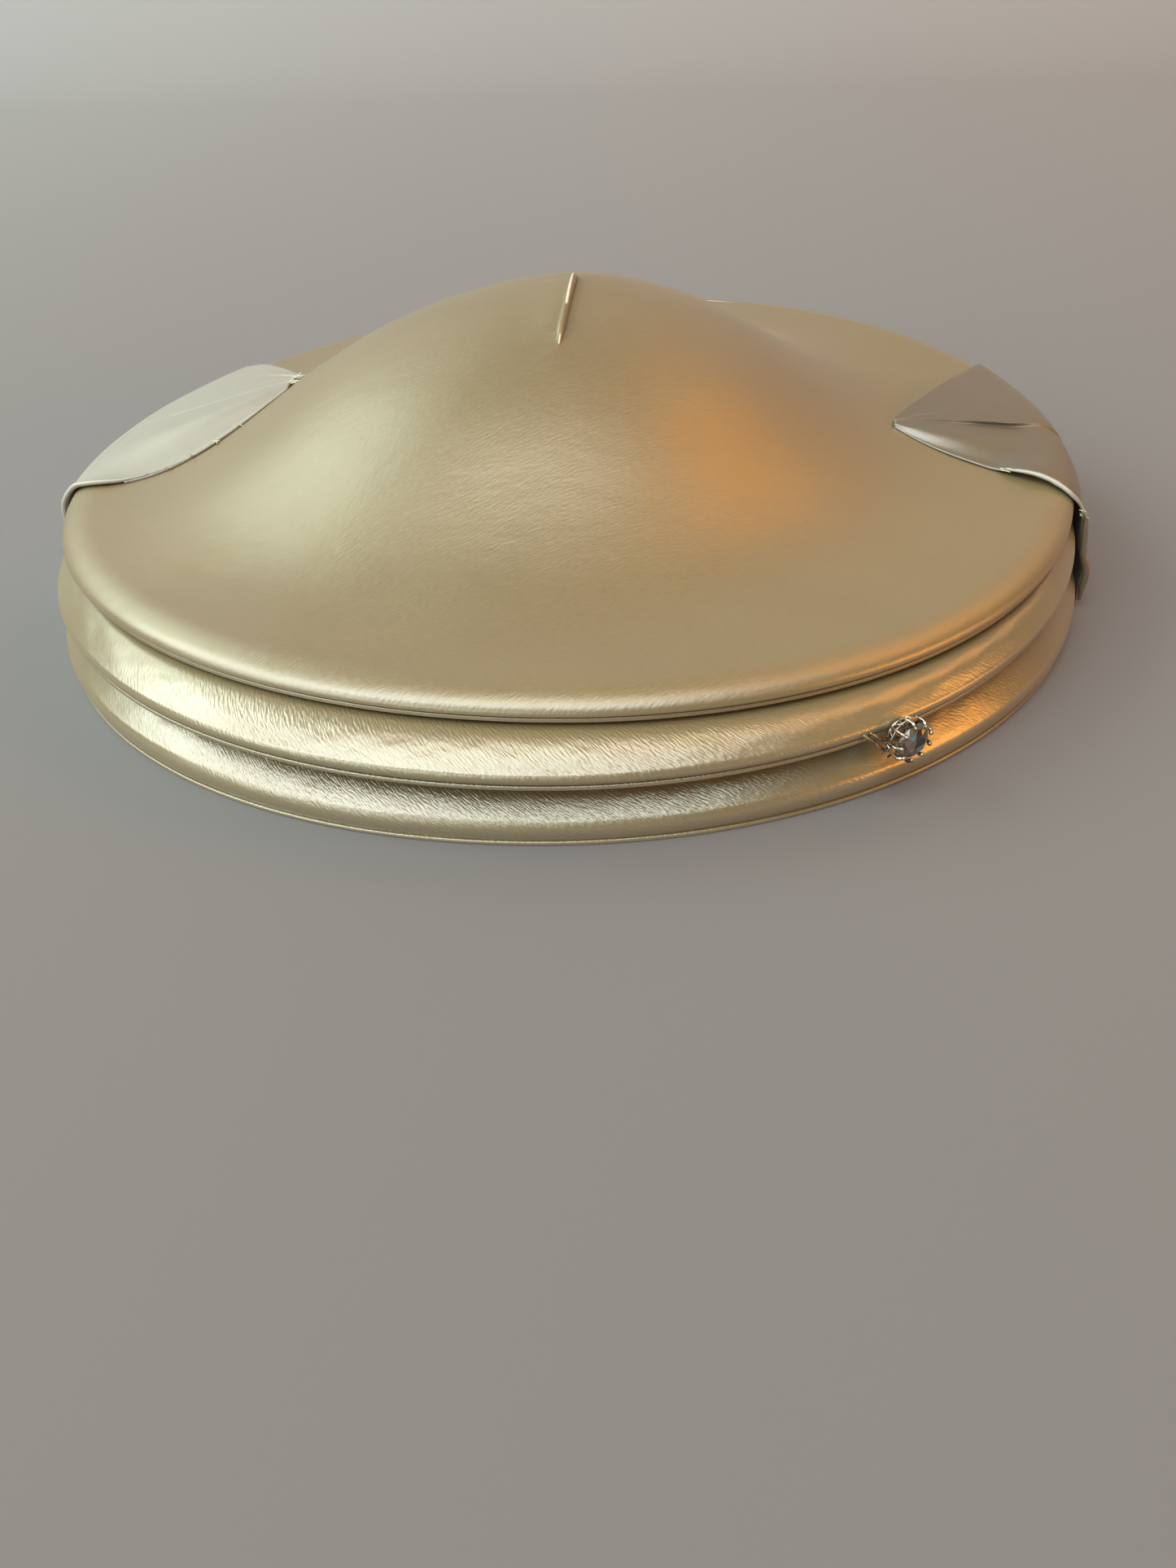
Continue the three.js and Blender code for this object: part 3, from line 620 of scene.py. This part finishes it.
def brim_piece(name, edge, above, seat, seed):
    angle = np.arange(ROUND) * 2 * math.pi / ROUND
    base = edge_height(edge, angle)
    room = edge_height(above, angle) - LAYER_GAP - base
    wide, tall, centre = (BRIM_ROLL[key] * room for key in ("wide", "tall", "centre"))
    end = math.radians(BRIM_ROLL["end"])
    steep = smooth(np.cos(angle), 0.3, 0.7)
    inset = wide * (1 - math.cos(end))
    lift = centre + tall * math.sin(end)

    def band(share):
        """The band's surface, share rooms in from the roll's upper end."""
        point = edge_point(edge, angle, inset + share * room, 0)
        phases = (seed, 0)
        ripple = sum(high * np.sin(turns * angle + slant * share + phase)
                     for (high, turns, slant), phase in zip(RIPPLES, phases))
        near = float(smooth(share, 0, 0.2) * (1 - smooth(share, 0.4, 0.8)))
        rise = BAND(share) + (BAND_STEEP(share) - BAND(share)) * steep
        point[:, 2] = base + lift + (room - lift) * rise + ripple * near
        return point

    floor = edge_height(above, angle) - LAYER_GAP
    inner, outer = opening_point(angle, 0, floor - WALL), opening_point(angle, -WALL, floor)
    flat = band(BAND_END)
    columns = [outer + (flat - outer) * share for share in OPENING_ROWS]
    columns += [band(share) for share in BAND_ROWS]
    columns += edge_section(edge, angle, wide, tall, centre, BRIM_ROLL["end"], seed)
    for share in UNDER_ROWS:
        under = band(share)
        under[:, :2] -= UNDER_IN * np.stack([np.cos(angle), np.sin(angle)], 1)
        under[:, 2] -= UNDER_DOWN
        columns.append(under)
    columns.append(inner)
    columns.append(opening_point(angle, 0, seat(inner, angle) - TOUCH))
    columns.append(opening_point(angle, -WALL, seat(outer, angle) - TOUCH))
    columns.append(outer)
    rows = np.stack(columns, 1)
    loop = np.concatenate([rows, rows[:1]])
    loop = np.concatenate([loop, loop[:, :1]], 1)
    along = np.concatenate([[0], np.cumsum(np.linalg.norm(np.diff(loop[0], axis=0), axis=1))])
    around = np.linspace(0, 2 * math.pi * HALF_WIDTH, len(loop))
    uv = np.stack(np.meshgrid(along, around)[::-1], -1) * MM
    return add_mesh(name, *grid(rows, uv, True, True))


finish_piece(crown_piece(), crown_satin, "satin", "crown")
finish_piece(
    brim_piece("middle_brim_shell", MIDDLE, CROWN, lambda p, a: crown_height(p[:, 0], p[:, 1]) - WALL, 21),
    band_satin, "satin", "middle_brim")
finish_piece(
    brim_piece("lower_brim_shell", LOWER, MIDDLE, lambda p, a: edge_height(CROWN, a) - LAYER_GAP - WALL, 31),
    band_satin, "satin", "lower_brim")

# Tabs

TAB_LIFT = 0.7              # a tab's cloth over the crown
TAB_LIFT_FRONT = 0.15       # the same at its front edge
TAB_STAND_OFF = 3.4         # how far out it hangs from the crown's edge
TAB_END = 1.6               # height of its lower end
TAB_CLOTH = 0.45            # its thickness
TAB_FLAT = (85, 90)         # its width and length for the weave
# Down over the edges: shares of the stand-off and of the drop, and whether it clears every brim
TAB_DROP = [(0.55, 0.1, False), (0.8, 0.3, False), (0.95, 0.5, False), (1, 0.68, True), (1, 0.86, True),
            (0.3, 1, True)]
# For each line of a tab: its places in the gather and in the fan, its bow and its lift
TAB_ROWS = np.array([
    [0, 0, 1, 0.03], [0.1, 0.06, 0.85, 0.06], [0.25, 0.18, 0.6, 0.05], [0.4, 0.32, 0.35, 0.04],
    [0.5, 0.44, 0.2, 0.035], [0.65, 0.6, 0.1, 0.045], [0.8, 0.78, 0, 0.055], [1, 1, 0, 0.07]])
# Each tab: its side; the directions of its gather, front and back in degrees; its gather's distance
# and width and its front edge's bow, as shares of the hat's half width; how loose that edge lies; how
# far it puffs up before the crown's edge; and how open its pleat is
TABS = {
    "right_tab": dict(side=1, gather=2.5, front=-12, back=26, reach=0.665, width=0.03, bow=0.005, loose=1,
                      puff=1.3, pleat=1),
    "left_tab": dict(side=-1, gather=7, front=-15.5, back=28.5, reach=0.6, width=0.09, bow=0.09, loose=0,
                     puff=0.5, pleat=0.15),
}
PATH_SHARES = (0.12, 0.24, 0.36, 0.48, 0.6, 0.72, 0.82, 0.91)
PATH_STEPS = 110
ACROSS = 64
PLEAT = 0.44                # the pleat's place in the fan
GATHERS = 7


def catmull(points, count):
    """Even steps along a smooth curve through points."""
    points = np.array(points)
    ends = np.vstack([2 * points[0] - points[1], points, 2 * points[-1] - points[-2]])
    knots = np.concatenate([[0], np.cumsum(np.linalg.norm(np.diff(ends, axis=0), axis=1) ** 0.5)])
    out = []
    for i in range(1, len(ends) - 2):
        t0, t1, t2, t3 = knots[i - 1:i + 3]
        for t in np.linspace(t1, t2, 24, endpoint=False):
            a1 = ((t1 - t) * ends[i - 1] + (t - t0) * ends[i]) / (t1 - t0)
            a2 = ((t2 - t) * ends[i] + (t - t1) * ends[i + 1]) / (t2 - t1)
            a3 = ((t3 - t) * ends[i + 1] + (t - t2) * ends[i + 2]) / (t3 - t2)
            b1 = ((t2 - t) * a1 + (t - t0) * a2) / (t2 - t0)
            b2 = ((t3 - t) * a2 + (t - t1) * a3) / (t3 - t1)
            out.append(((t2 - t) * b1 + (t - t1) * b2) / (t2 - t1))
    out = np.array(out + [points[-1]])
    length = np.concatenate([[0], np.cumsum(np.linalg.norm(np.diff(out, axis=0), axis=1))])
    even = np.linspace(0, length[-1], count)
    return np.stack([np.interp(even, length, out[:, k]) for k in range(3)], 1)


def tab_path(tab, row):
    """One line along a tab, from its gather over the crown's edge and down outside the brims."""
    gather_share, fan, bow, lift_share = row
    tab_lift = TAB_LIFT_FRONT + (TAB_LIFT - TAB_LIFT_FRONT) * float(smooth(fan, 0, 0.15))
    free = float(smooth(fan, 0, 0.22))
    side = tab["side"]

    def on_side(degrees):
        return math.radians(degrees) if side > 0 else math.pi - math.radians(degrees)

    reach = tab["reach"] * HALF_WIDTH
    turn = on_side(tab["gather"])
    gather = np.array([reach * math.cos(turn), reach * math.sin(turn) + CROWN.centre_y, 0.0])
    gather[1] += (gather_share - 0.5) * tab["width"] * HALF_WIDTH
    gather[2] = cloth_height(*np.atleast_2d(gather[:2]).T)[0] + tab_lift
    angle = on_side(tab["front"] + (tab["back"] - tab["front"]) * fan)
    at = np.array([angle])
    rim = roll_top(CROWN, at)[0]
    lift = lift_share * (HALF_WIDTH - reach)
    rim[2] += 0.45 + lift / 3
    points = [gather]
    for share in PATH_SHARES:
        arch = 4 * share * (1 - share)
        point = gather + (rim - gather) * share
        point[1] -= arch * bow * tab["bow"] * HALF_WIDTH
        floor = cloth_height(point[:1], point[1:2])[0] + tab_lift
        loose = max(free, tab["loose"] * float(smooth(share, 0.55, 0.8)))
        point[2] = floor + (max(point[2] - floor, 0) + arch * lift / 2) * loose
        point[2] += tab["puff"] * (1 - free) * math.exp(-((share - 0.82) / 0.12) ** 2)
        points.append(point)
    points.append(rim)
    top = edge_height(CROWN, at)[0] + LIP
    crown_reach = outline(CROWN.half_width, CROWN.half_depth, at)[0]
    reaches = [edge_point(edge, at, 0, 0)[0] for edge in (CROWN, MIDDLE, LOWER)]
    clear = max(math.hypot(p[0], p[1] - CROWN.centre_y) for p in reaches) + TOUCH
    for outward, down, clears in TAB_DROP:
        hung = crown_reach + outward * TAB_STAND_OFF
        r = max(hung, clear) if clears else hung
        height = top + (TAB_END - top) * down
        points.append(np.array([r * math.cos(angle), CROWN.centre_y + r * math.sin(angle), height]))
    return catmull(points, PATH_STEPS)


def tab_piece(name):
    """A tab's sheet, and its outer surface as lines of points from the front edge to the back."""
    tab = TABS[name]
    side = tab["side"]
    fan = np.concatenate([np.linspace(0, 0.425, 27), np.linspace(0.433, 0.447, 7),
                          np.linspace(0.455, 1, ACROSS - 34)])
    rows = np.stack([np.interp(fan, TAB_ROWS[:, 1], TAB_ROWS[:, k]) for k in range(4)], 1)
    paths = np.stack([tab_path(tab, row) for row in rows])
    across = np.gradient(paths, axis=0)
    normal = np.cross(np.gradient(paths, axis=1), across) * side
    normal /= np.linalg.norm(normal, axis=2)[..., None] + 1e-12
    place = np.linspace(0, 1, PATH_STEPS)[None, :]
    f = fan[:, None]
    # The pleat: the back half lies over the front half along one line that runs from the gather
    open_pleat = tab["pleat"] * smooth(place, 0.2, 0.36) * (1 - smooth(place, 0.42, 0.52))
    fold_over = tab["pleat"] * smooth(place, 0.0, 0.2) * (1 - smooth(place, 0.5, 0.7))
    behind = smooth(f, PLEAT - 0.008, PLEAT + 0.001) * np.exp(-((f - PLEAT) / 0.3) ** 2)
    pleat = (0.5 * open_pleat + 0.6 * fold_over) * behind
    # Small gathers where the cloth is drawn together
    chance = random.Random(7 if side > 0 else 9)
    gathers = np.zeros_like(pleat)
    for _ in range(GATHERS):
        centre, width = chance.uniform(0.05, 0.95), chance.uniform(0.03, 0.09)
        size = chance.uniform(0.15, 0.5)
        gathers += 0.7 * size * np.exp(-((f - centre) / width) ** 2) * (1 - smooth(place, 0.04, 0.28))
    sag = 0.25 * np.sin(9 * place + 5 * f) * smooth(place, 0.2, 0.4)
    edge_curl = 0.2 * np.exp(-(f / 0.03) ** 2) * smooth(place, 0.12, 0.3)
    lean = across / (np.linalg.norm(across, axis=2)[..., None] + 1e-12)
    overhang = 0.9 * open_pleat * smooth(f, PLEAT - 0.005, PLEAT + 0.005)
    overhang = overhang * np.exp(-np.maximum(f - PLEAT, 0) / 0.07)
    paths = paths - lean * overhang[..., None]
    outer = paths + normal * (0.25 + pleat + gathers + np.maximum(0, sag) + edge_curl)[..., None]
    inner = outer - normal * TAB_CLOTH
    rows = np.concatenate([outer, inner[::-1]]).transpose(1, 0, 2)
    lengths = np.concatenate([fan, fan[::-1]]) * TAB_FLAT[0]
    count = len(lengths)
    uv = np.stack(np.meshgrid(np.concatenate([lengths, lengths[:1]]), place[0] * TAB_FLAT[1]), -1) * MM
    verts, faces, uvs = grid(rows, uv, False, True, flip=side < 0)
    for row, turned in ((0, False), (PATH_STEPS - 1, True)):
        first = row * count
        for i in range(count // 2 - 1):
            quad = [first + i, first + i + 1, first + count - 2 - i, first + count - 1 - i]
            if turned != (side < 0):
                quad = quad[::-1]
            faces.append(quad)
            uvs.append([uv[row, v - first] for v in quad])
    return add_mesh(name + "_sheet", verts, faces, uvs), outer


THREAD_RADII = (0.14, 0.08)


def fray(name, anchors, seed, length, count):
    """Loose ends of threads. anchors are (point, direction) pairs in millimetres."""
    chance = random.Random(seed)
    parts = []
    for _ in range(count):
        point, direction = anchors[chance.randrange(len(anchors))]
        direction = direction + np.array([chance.uniform(-0.6, 0.6) for _ in range(3)])
        direction[2] = abs(direction[2]) * 0.4 + 0.05
        direction /= np.linalg.norm(direction)
        bend = np.array([chance.uniform(-1, 1), chance.uniform(-1, 1), chance.uniform(-0.2, 0.4)])
        reach = length * chance.uniform(0.4, 1.0)
        steps = np.linspace(0, 1, 6)[:, None]
        start = point + np.array([chance.uniform(-0.8, 0.8), chance.uniform(-0.8, 0.8), 0.1])
        line = start + direction * reach * steps + bend * reach * 0.35 * steps ** 2
        parts.append(tube(line, np.linspace(*THREAD_RADII, 6), 5))
    verts, faces = gather_parts(parts)
    return finish_piece(add_mesh(name, verts, faces), thread_and_highlight, "satin")


# The right tab is made in the taupe of painted shade, and the left in the pale of painted light.
right_sheet, right_outer = tab_piece("right_tab")
finish_piece(right_sheet, painted_shade_satin, "satin", "right_tab")
left_sheet, left_outer = tab_piece("left_tab")
finish_piece(left_sheet, painted_lit_satin, "satin", "left_tab")


HEM_WAVE = 0.05
HEM_LEAST = 0.15


def hem(name, line, radius, seed, material=painted_lit_satin):
    """A turned fold that shows its thickness along an edge of cloth. In the pale tab satin it is a painted
    highlight, and in the taupe tab satin it is painted shade.
    """
    steps = np.linspace(0, 1, len(line))
    wobble = hand_wave(steps * 6, seed, HEM_WAVE)
    radii = radius * np.sin(math.pi * np.clip(steps, 0.04, 0.96)) ** 0.35 + wobble
    return finish_piece(add_mesh(name, *tube(line, np.maximum(radii, HEM_LEAST), 10)), material, "satin")


TUCK_EDGE_RADIUS = 0.4
TUCK_EDGE_HEIGHT = 0.42
TUCK_EDGE_STEPS = 40


def tuck_edge():
    """The folded edge of the tuck, from the peak down to its foot, in the pale thread colour as a painted
    highlight along the fold.
    """
    away = np.linspace(2.0, TUCK_LENGTH - 1, TUCK_EDGE_STEPS)
    x = PEAK[0] + away * math.cos(FOLD) - 0.6 - 0.5 * smooth(away, 28, 37)
    y = PEAK[1] + away * math.sin(FOLD)
    reach, angle = crown_place(x, y)
    line = crown_top(reach, angle, tuck=False)
    line[:, 2] += tuck_rise(x, y, angle) + swell(reach) + TUCK_EDGE_HEIGHT
    radii = TUCK_EDGE_RADIUS * np.sin(np.linspace(0.25, 2.9, TUCK_EDGE_STEPS)) ** 0.5
    return finish_piece(add_mesh("crown_tuck_edge", *tube(line, radii)), thread_and_highlight, "satin")


def edge_line(outer, first, last, shift):
    """Part of a tab's front edge, moved by a few tenths of a millimetre."""
    return outer[0, first:last] + np.array(shift)


tuck_edge()
# The right tab's hanging edge, in the taupe of painted shade.
right_drop = hem("right_tab_edge", edge_line(right_outer, 77, 109, (0.5, -0.4, 0)), 1.0, 12, painted_shade_satin)
# The right tab's fold in the pale satin: a painted highlight on its rolled edge.
right_hem = hem("right_tab_fold", edge_line(right_outer, 46, 78, (0, -0.2, 0.1)), 0.62, 3)
# A thin taupe tube just under the left tab's front edge: a painted shadow line.
left_shadow_line = hem("left_tab_shadow_line", edge_line(left_outer, 6, 52, (0, -0.15, -0.35)), 0.3, 8, painted_shade_satin)
# The left tab's turned-under cloth near its end, in taupe as painted shade.
left_turned_shade = hem("left_tab_shade", edge_line(left_outer, 40, 60, (0, -0.55, -0.45)), 0.65, 14, painted_shade_satin)
left_hem = hem("left_tab_fold", edge_line(left_outer, 52, 102, (-0.3, -0.3, 0.1)), 0.7, 4)
right_fray = fray(
    "right_tab_threads",
    [(right_outer[0, k], np.array([0.2, -0.8, 0.2])) for k in (44, 45, 76, 77, 78)], 5, 2.2, 16)
left_fray = fray(
    "left_tab_threads",
    [(left_outer[i, 0], np.array([1.0, -0.1, 0.1])) for i in (8, 20, 30, 44, 56)]
    + [(left_outer[0, k], np.array([0.2, -0.8, 0.1])) for k in (20, 30, 38, 46)], 6, 2.4, 34)

# Rhinestone and setting

STONE = 3.9
GIRDLE = 0.3
STONE_CROWN = 1.3
PAVILION = 3.0
PLATE_BACK = -PAVILION - TOUCH - 0.7
PLATE_WIRE = PLATE_BACK + 0.35
PRONGS = 9
# Radii of the setting's wires and grains
SEAT_WIRE, RIM_WIRE, HUB_WIRE, ARCH_WIRE, LEG_WIRE, CURL_WIRE = 0.26, 0.34, 0.3, 0.22, 0.3, 0.2
PRONG_RADII = (0.28, 0.36)
TIP_GRAIN, SIDE_GRAIN = 0.5, 0.42
stone_angle = math.radians(-53)
outward = np.array([math.cos(stone_angle), math.sin(stone_angle), 0.0])
across = np.array([-math.sin(stone_angle), math.cos(stone_angle), 0.0])
upward = np.array([0.0, 0.0, 1.0])
stone_height = edge_height(MIDDLE, np.array([stone_angle]))[0] + 0.4
contact = edge_point(MIDDLE, np.array([stone_angle]), 0, stone_height)[0]
stone_centre = contact + outward * (TOUCH - PLATE_BACK)


def placed(points):
    """Points in the ornament's own frame (across, up, out) carried to the hat."""
    points = np.asarray(points, float)
    return stone_centre + points[..., :1] * across + points[..., 1:2] * upward + points[..., 2:3] * outward


def stone_piece():
    def circle(radius, count, z, turn):
        a = 2 * math.pi * (np.arange(count) + turn) / count
        return np.stack([radius * np.cos(a), radius * np.sin(a), np.full(count, z)], 1)

    rings = [circle(STONE * 0.54, 8, GIRDLE + STONE_CROWN, 0.5),
             circle(STONE * 0.8, 8, GIRDLE + 0.62 * STONE_CROWN, 0),
             circle(STONE * 0.985, 16, GIRDLE, 0), circle(STONE * 0.985, 16, 0, 0),
             circle(STONE * 0.56, 8, -0.55 * PAVILION, 0), np.array([[0, 0, -PAVILION]])]
    verts = placed(np.vstack(rings))
    table, star, girdle, under, pavilion, point = 0, 8, 16, 32, 48, 56
    faces = [[table + i for i in range(8)]]
    for i in range(8):
        n, low, high = (i + 1) % 8, (2 * i) % 16, (2 * i + 1) % 16
        faces.append([table + i, star + n, table + n])
        faces.append([table + i, star + i, girdle + high, star + n])
        faces.append([star + i, girdle + low, girdle + high])
        faces.append([star + n, girdle + high, girdle + (2 * n) % 16])
        faces.append([under + low, pavilion + i, under + high])
        faces.append([under + high, pavilion + i, pavilion + n])
        faces.append([under + high, pavilion + n, under + (2 * n) % 16])
        faces.append([pavilion + i, point, pavilion + n])
    for i in range(16):
        n = (i + 1) % 16
        faces.append([girdle + i, under + i, under + n, girdle + n])
    return add_mesh("stone_facets", verts, faces, smooth_faces=False)


def ball(centre, radius, rings=6, sides=10):
    points = []
    for i in range(rings + 1):
        lat = math.pi * (i / rings - 0.5)
        points.append([centre[0], centre[1], centre[2] + radius * math.sin(lat)])
    radii = [max(0.02, radius * math.cos(math.pi * (i / rings - 0.5))) for i in range(rings + 1)]
    return tube(points, radii, sides, round_ends=False)


def setting_piece():
    parts = []
    seat = STONE + TOUCH

    def loop(radius, z, thick):
        a = np.linspace(0, 2 * math.pi, 73)
        ring = np.stack([radius * np.cos(a), radius * np.sin(a), z + 0 * a], 1)
        return tube(ring, thick, round_ends=False)

    parts.append(loop(seat + 0.22, -1.3, SEAT_WIRE))
    parts.append(loop(0.78 * STONE, PLATE_WIRE, RIM_WIRE))
    parts.append(loop(0.4 * STONE, PLATE_WIRE, HUB_WIRE))
    for i in range(PRONGS):
        a = 2 * math.pi * (i + 0.5) / PRONGS

        def at(r, z, turn=0.0):
            return [r * math.cos(a + turn), r * math.sin(a + turn), z]

        stem = catmull([at(0.3 * STONE, PLATE_WIRE), at(0.8 * STONE, PLATE_BACK + 0.4),
                        at(seat + 0.1, -2.1), at(seat + 0.32, -0.8), at(seat + 0.3, 0.3),
                        at(STONE - 0.1, 1.25)], 26)
        parts.append(tube(stem, np.linspace(*PRONG_RADII, 26)))
        parts.append(ball(at(STONE - 0.05, 1.25), TIP_GRAIN))
        parts.append(ball(at(STONE + 0.42, 0.45), SIDE_GRAIN))
        step = math.pi / PRONGS
        arch = [at(seat + 0.25, -1.2, -step), at(seat, -2.4, -0.6 * step), at(seat * 0.86, -3.0),
                at(seat, -2.4, 0.6 * step), at(seat + 0.25, -1.2, step)]
        parts.append(tube(catmull(arch, 18), ARCH_WIRE))
    verts, faces = gather_parts(parts)
    return add_mesh("setting_claws", placed(verts), faces)


def leg_piece():
    """The wire legs that run from the back of the setting to the brim's edge, and a loop under them."""
    parts = []
    radius = outline(MIDDLE.half_width, MIDDLE.half_depth, stone_angle)
    for reach, start, bend in ((9.2, (-2.4, -1.2), (-4.2, -2.2)), (7.5, (-2.4, -0.3), (-4.2, -0.5))):
        end_angle = np.array([stone_angle - reach / radius])
        height = edge_height(MIDDLE, end_angle)[0] + FACING + ROLL
        end = edge_point(MIDDLE, end_angle, -0.55, height)[0]
        first = placed([start[0], start[1], PLATE_WIRE])
        second = placed([bend[0], bend[1], PLATE_BACK + 1.6])
        line = catmull([first, second, second + (end - second) * 0.6, end], 30)
        parts.append(tube(line, LEG_WIRE))
    turns = np.linspace(0.2, 5.4, 40)
    curl = np.stack([-3.9 - 0.9 * np.cos(turns), -3.2 + 0.55 * np.sin(turns),
                     PLATE_BACK + 1.2 + 0.15 * turns], 1)
    parts.append(tube(placed(curl), CURL_WIRE))
    verts, faces = gather_parts(parts)
    return add_mesh("setting_legs", verts, faces)


finish_piece(stone_piece(), crystal, "crystal", "stone")
finish_piece(setting_piece(), silver, "silver", "setting")
finish_piece(leg_piece(), silver, "silver")

# Stage, light and camera

# The floor and the wall that it turns up into, in metres
FLOOR_SIDE = 9.0
FLOOR_FRONT = -6.0
WALL_FOOT = 1.2
WALL_CURVE = 0.6
WALL_TOP = 3.0
# The floor's colour runs from darker near the camera to lighter at the wall: painted shading of the room's
# light.
FLOOR_NEAR = (0.18, 0.172, 0.182)
FLOOR_FAR = (0.385, 0.378, 0.41)


def floor_material():
    material, nodes, links, shader = new_material("floor")
    parts = nodes.new("ShaderNodeSeparateXYZ")
    links.new(nodes.new("ShaderNodeTexCoord").outputs["Object"], parts.inputs["Vector"])
    depth = nodes.new("ShaderNodeMapRange")
    set_inputs(depth, {"From Min": -0.3, "From Max": 1.6})
    links.new(parts.outputs["Y"], depth.inputs["Value"])
    colour = colour_ramp(nodes, links, depth.outputs["Result"], [(0.0, FLOOR_NEAR), (1.0, FLOOR_FAR)])
    links.new(colour, shader.inputs["Base Color"])
    set_inputs(shader, {"Roughness": 0.75})
    return material


def floor_piece():
    profile = [(FLOOR_FRONT, 0.0), (WALL_FOOT, 0.0)]
    for turn in np.radians(np.linspace(0, 90, 13)[1:]):
        profile.append((WALL_FOOT + WALL_CURVE * math.sin(turn), WALL_CURVE - WALL_CURVE * math.cos(turn)))
    profile.append((WALL_FOOT + WALL_CURVE, WALL_TOP))
    verts, faces = [], []
    for y, z in profile:
        verts += [(-FLOOR_SIDE, y, z), (FLOOR_SIDE, y, z)]
    for i in range(len(profile) - 1):
        faces.append([2 * i, 2 * i + 1, 2 * i + 3, 2 * i + 2])
    mesh = bpy.data.meshes.new("floor")
    mesh.from_pydata(verts, [], faces)
    mesh.polygons.foreach_set("use_smooth", [True] * len(faces))
    floor = bpy.data.objects.new("floor", mesh)
    bpy.context.collection.objects.link(floor)
    floor.data.materials.append(floor_material())
    return floor


floor_piece()

LIGHT_DISTANCE = 3.0
# Name, azimuth, height, width and tallness in degrees, brightness, colour
LIGHTS = [
    ("window", 158, 38, 44, 26, 2.6, (0.83, 1.0, 0.80)),
    ("window_front", 201, 35, 54, 32, 3.4, (0.93, 1.0, 0.92)),
    ("front_top", 258, 57, 56, 32, 3.3, (0.88, 1.0, 0.97)),
    ("ceiling", 275, 82, 44, 22, 2.7, (1.0, 0.9, 0.7)),
    ("front_low", 238, 12, 66, 18, 2.4, (0.95, 1.0, 0.86)),
    ("warm_side", 26, 50, 34, 24, 2.1, (1.0, 0.33, 0.01)),
    ("warm_low", 350, 12, 30, 12, 7.5, (1.0, 0.38, 0.05)),
]


def area_light(name, azimuth, height, wide, tall, radiance, color):
    """A soft rectangular light that faces the hat: its direction, and how wide and tall it looks from
    there, in degrees. radiance is how bright its face looks."""
    a, h = math.radians(azimuth), math.radians(height)
    away = Vector((math.cos(a) * math.cos(h), math.sin(a) * math.cos(h), math.sin(h)))
    data = bpy.data.lights.new(name, "AREA")
    data.shape = "RECTANGLE"
    data.size = 2 * LIGHT_DISTANCE * math.tan(math.radians(wide / 2))
    data.size_y = 2 * LIGHT_DISTANCE * math.tan(math.radians(tall / 2))
    data.energy = radiance * math.pi * data.size * data.size_y
    data.color = color
    light = bpy.data.objects.new(name, data)
    light.location = away * LIGHT_DISTANCE
    light.rotation_euler = away.to_track_quat("Z", "Y").to_euler()
    bpy.context.collection.objects.link(light)


for light in LIGHTS:
    area_light(*light)

world = bpy.data.worlds.new("room")
world.use_nodes = True
set_inputs(world.node_tree.nodes["Background"], {"Color": (0.60, 0.55, 0.49, 1), "Strength": 0.075})
bpy.context.scene.world = world
bpy.context.scene.view_settings.view_transform = "Standard"

# The camera's focal length and the frame's height in pixels, and its sensor in millimetres
FOCAL_PIXELS = 1448
FRAME_PIXELS = 1927
SENSOR = 36


def camera():
    data = bpy.data.cameras.new("camera")
    data.sensor_fit = "AUTO"
    data.sensor_width = SENSOR
    data.lens = SENSOR * FOCAL_PIXELS / FRAME_PIXELS
    data.clip_start = 0.01
    cam = bpy.data.objects.new("camera", data)
    right = (0.99153, 0.12474, -0.03628)
    up = (-0.0438, 0.58394, 0.81061)
    back = (0.12231, -0.80215, 0.58446)
    place = (0.05072, -0.31618, 0.14772)
    rows = [[right[k], up[k], back[k], place[k]] for k in range(3)] + [[0, 0, 0, 1]]
    cam.matrix_world = Matrix(rows)
    bpy.context.collection.objects.link(cam)
    bpy.context.scene.camera = cam


camera()
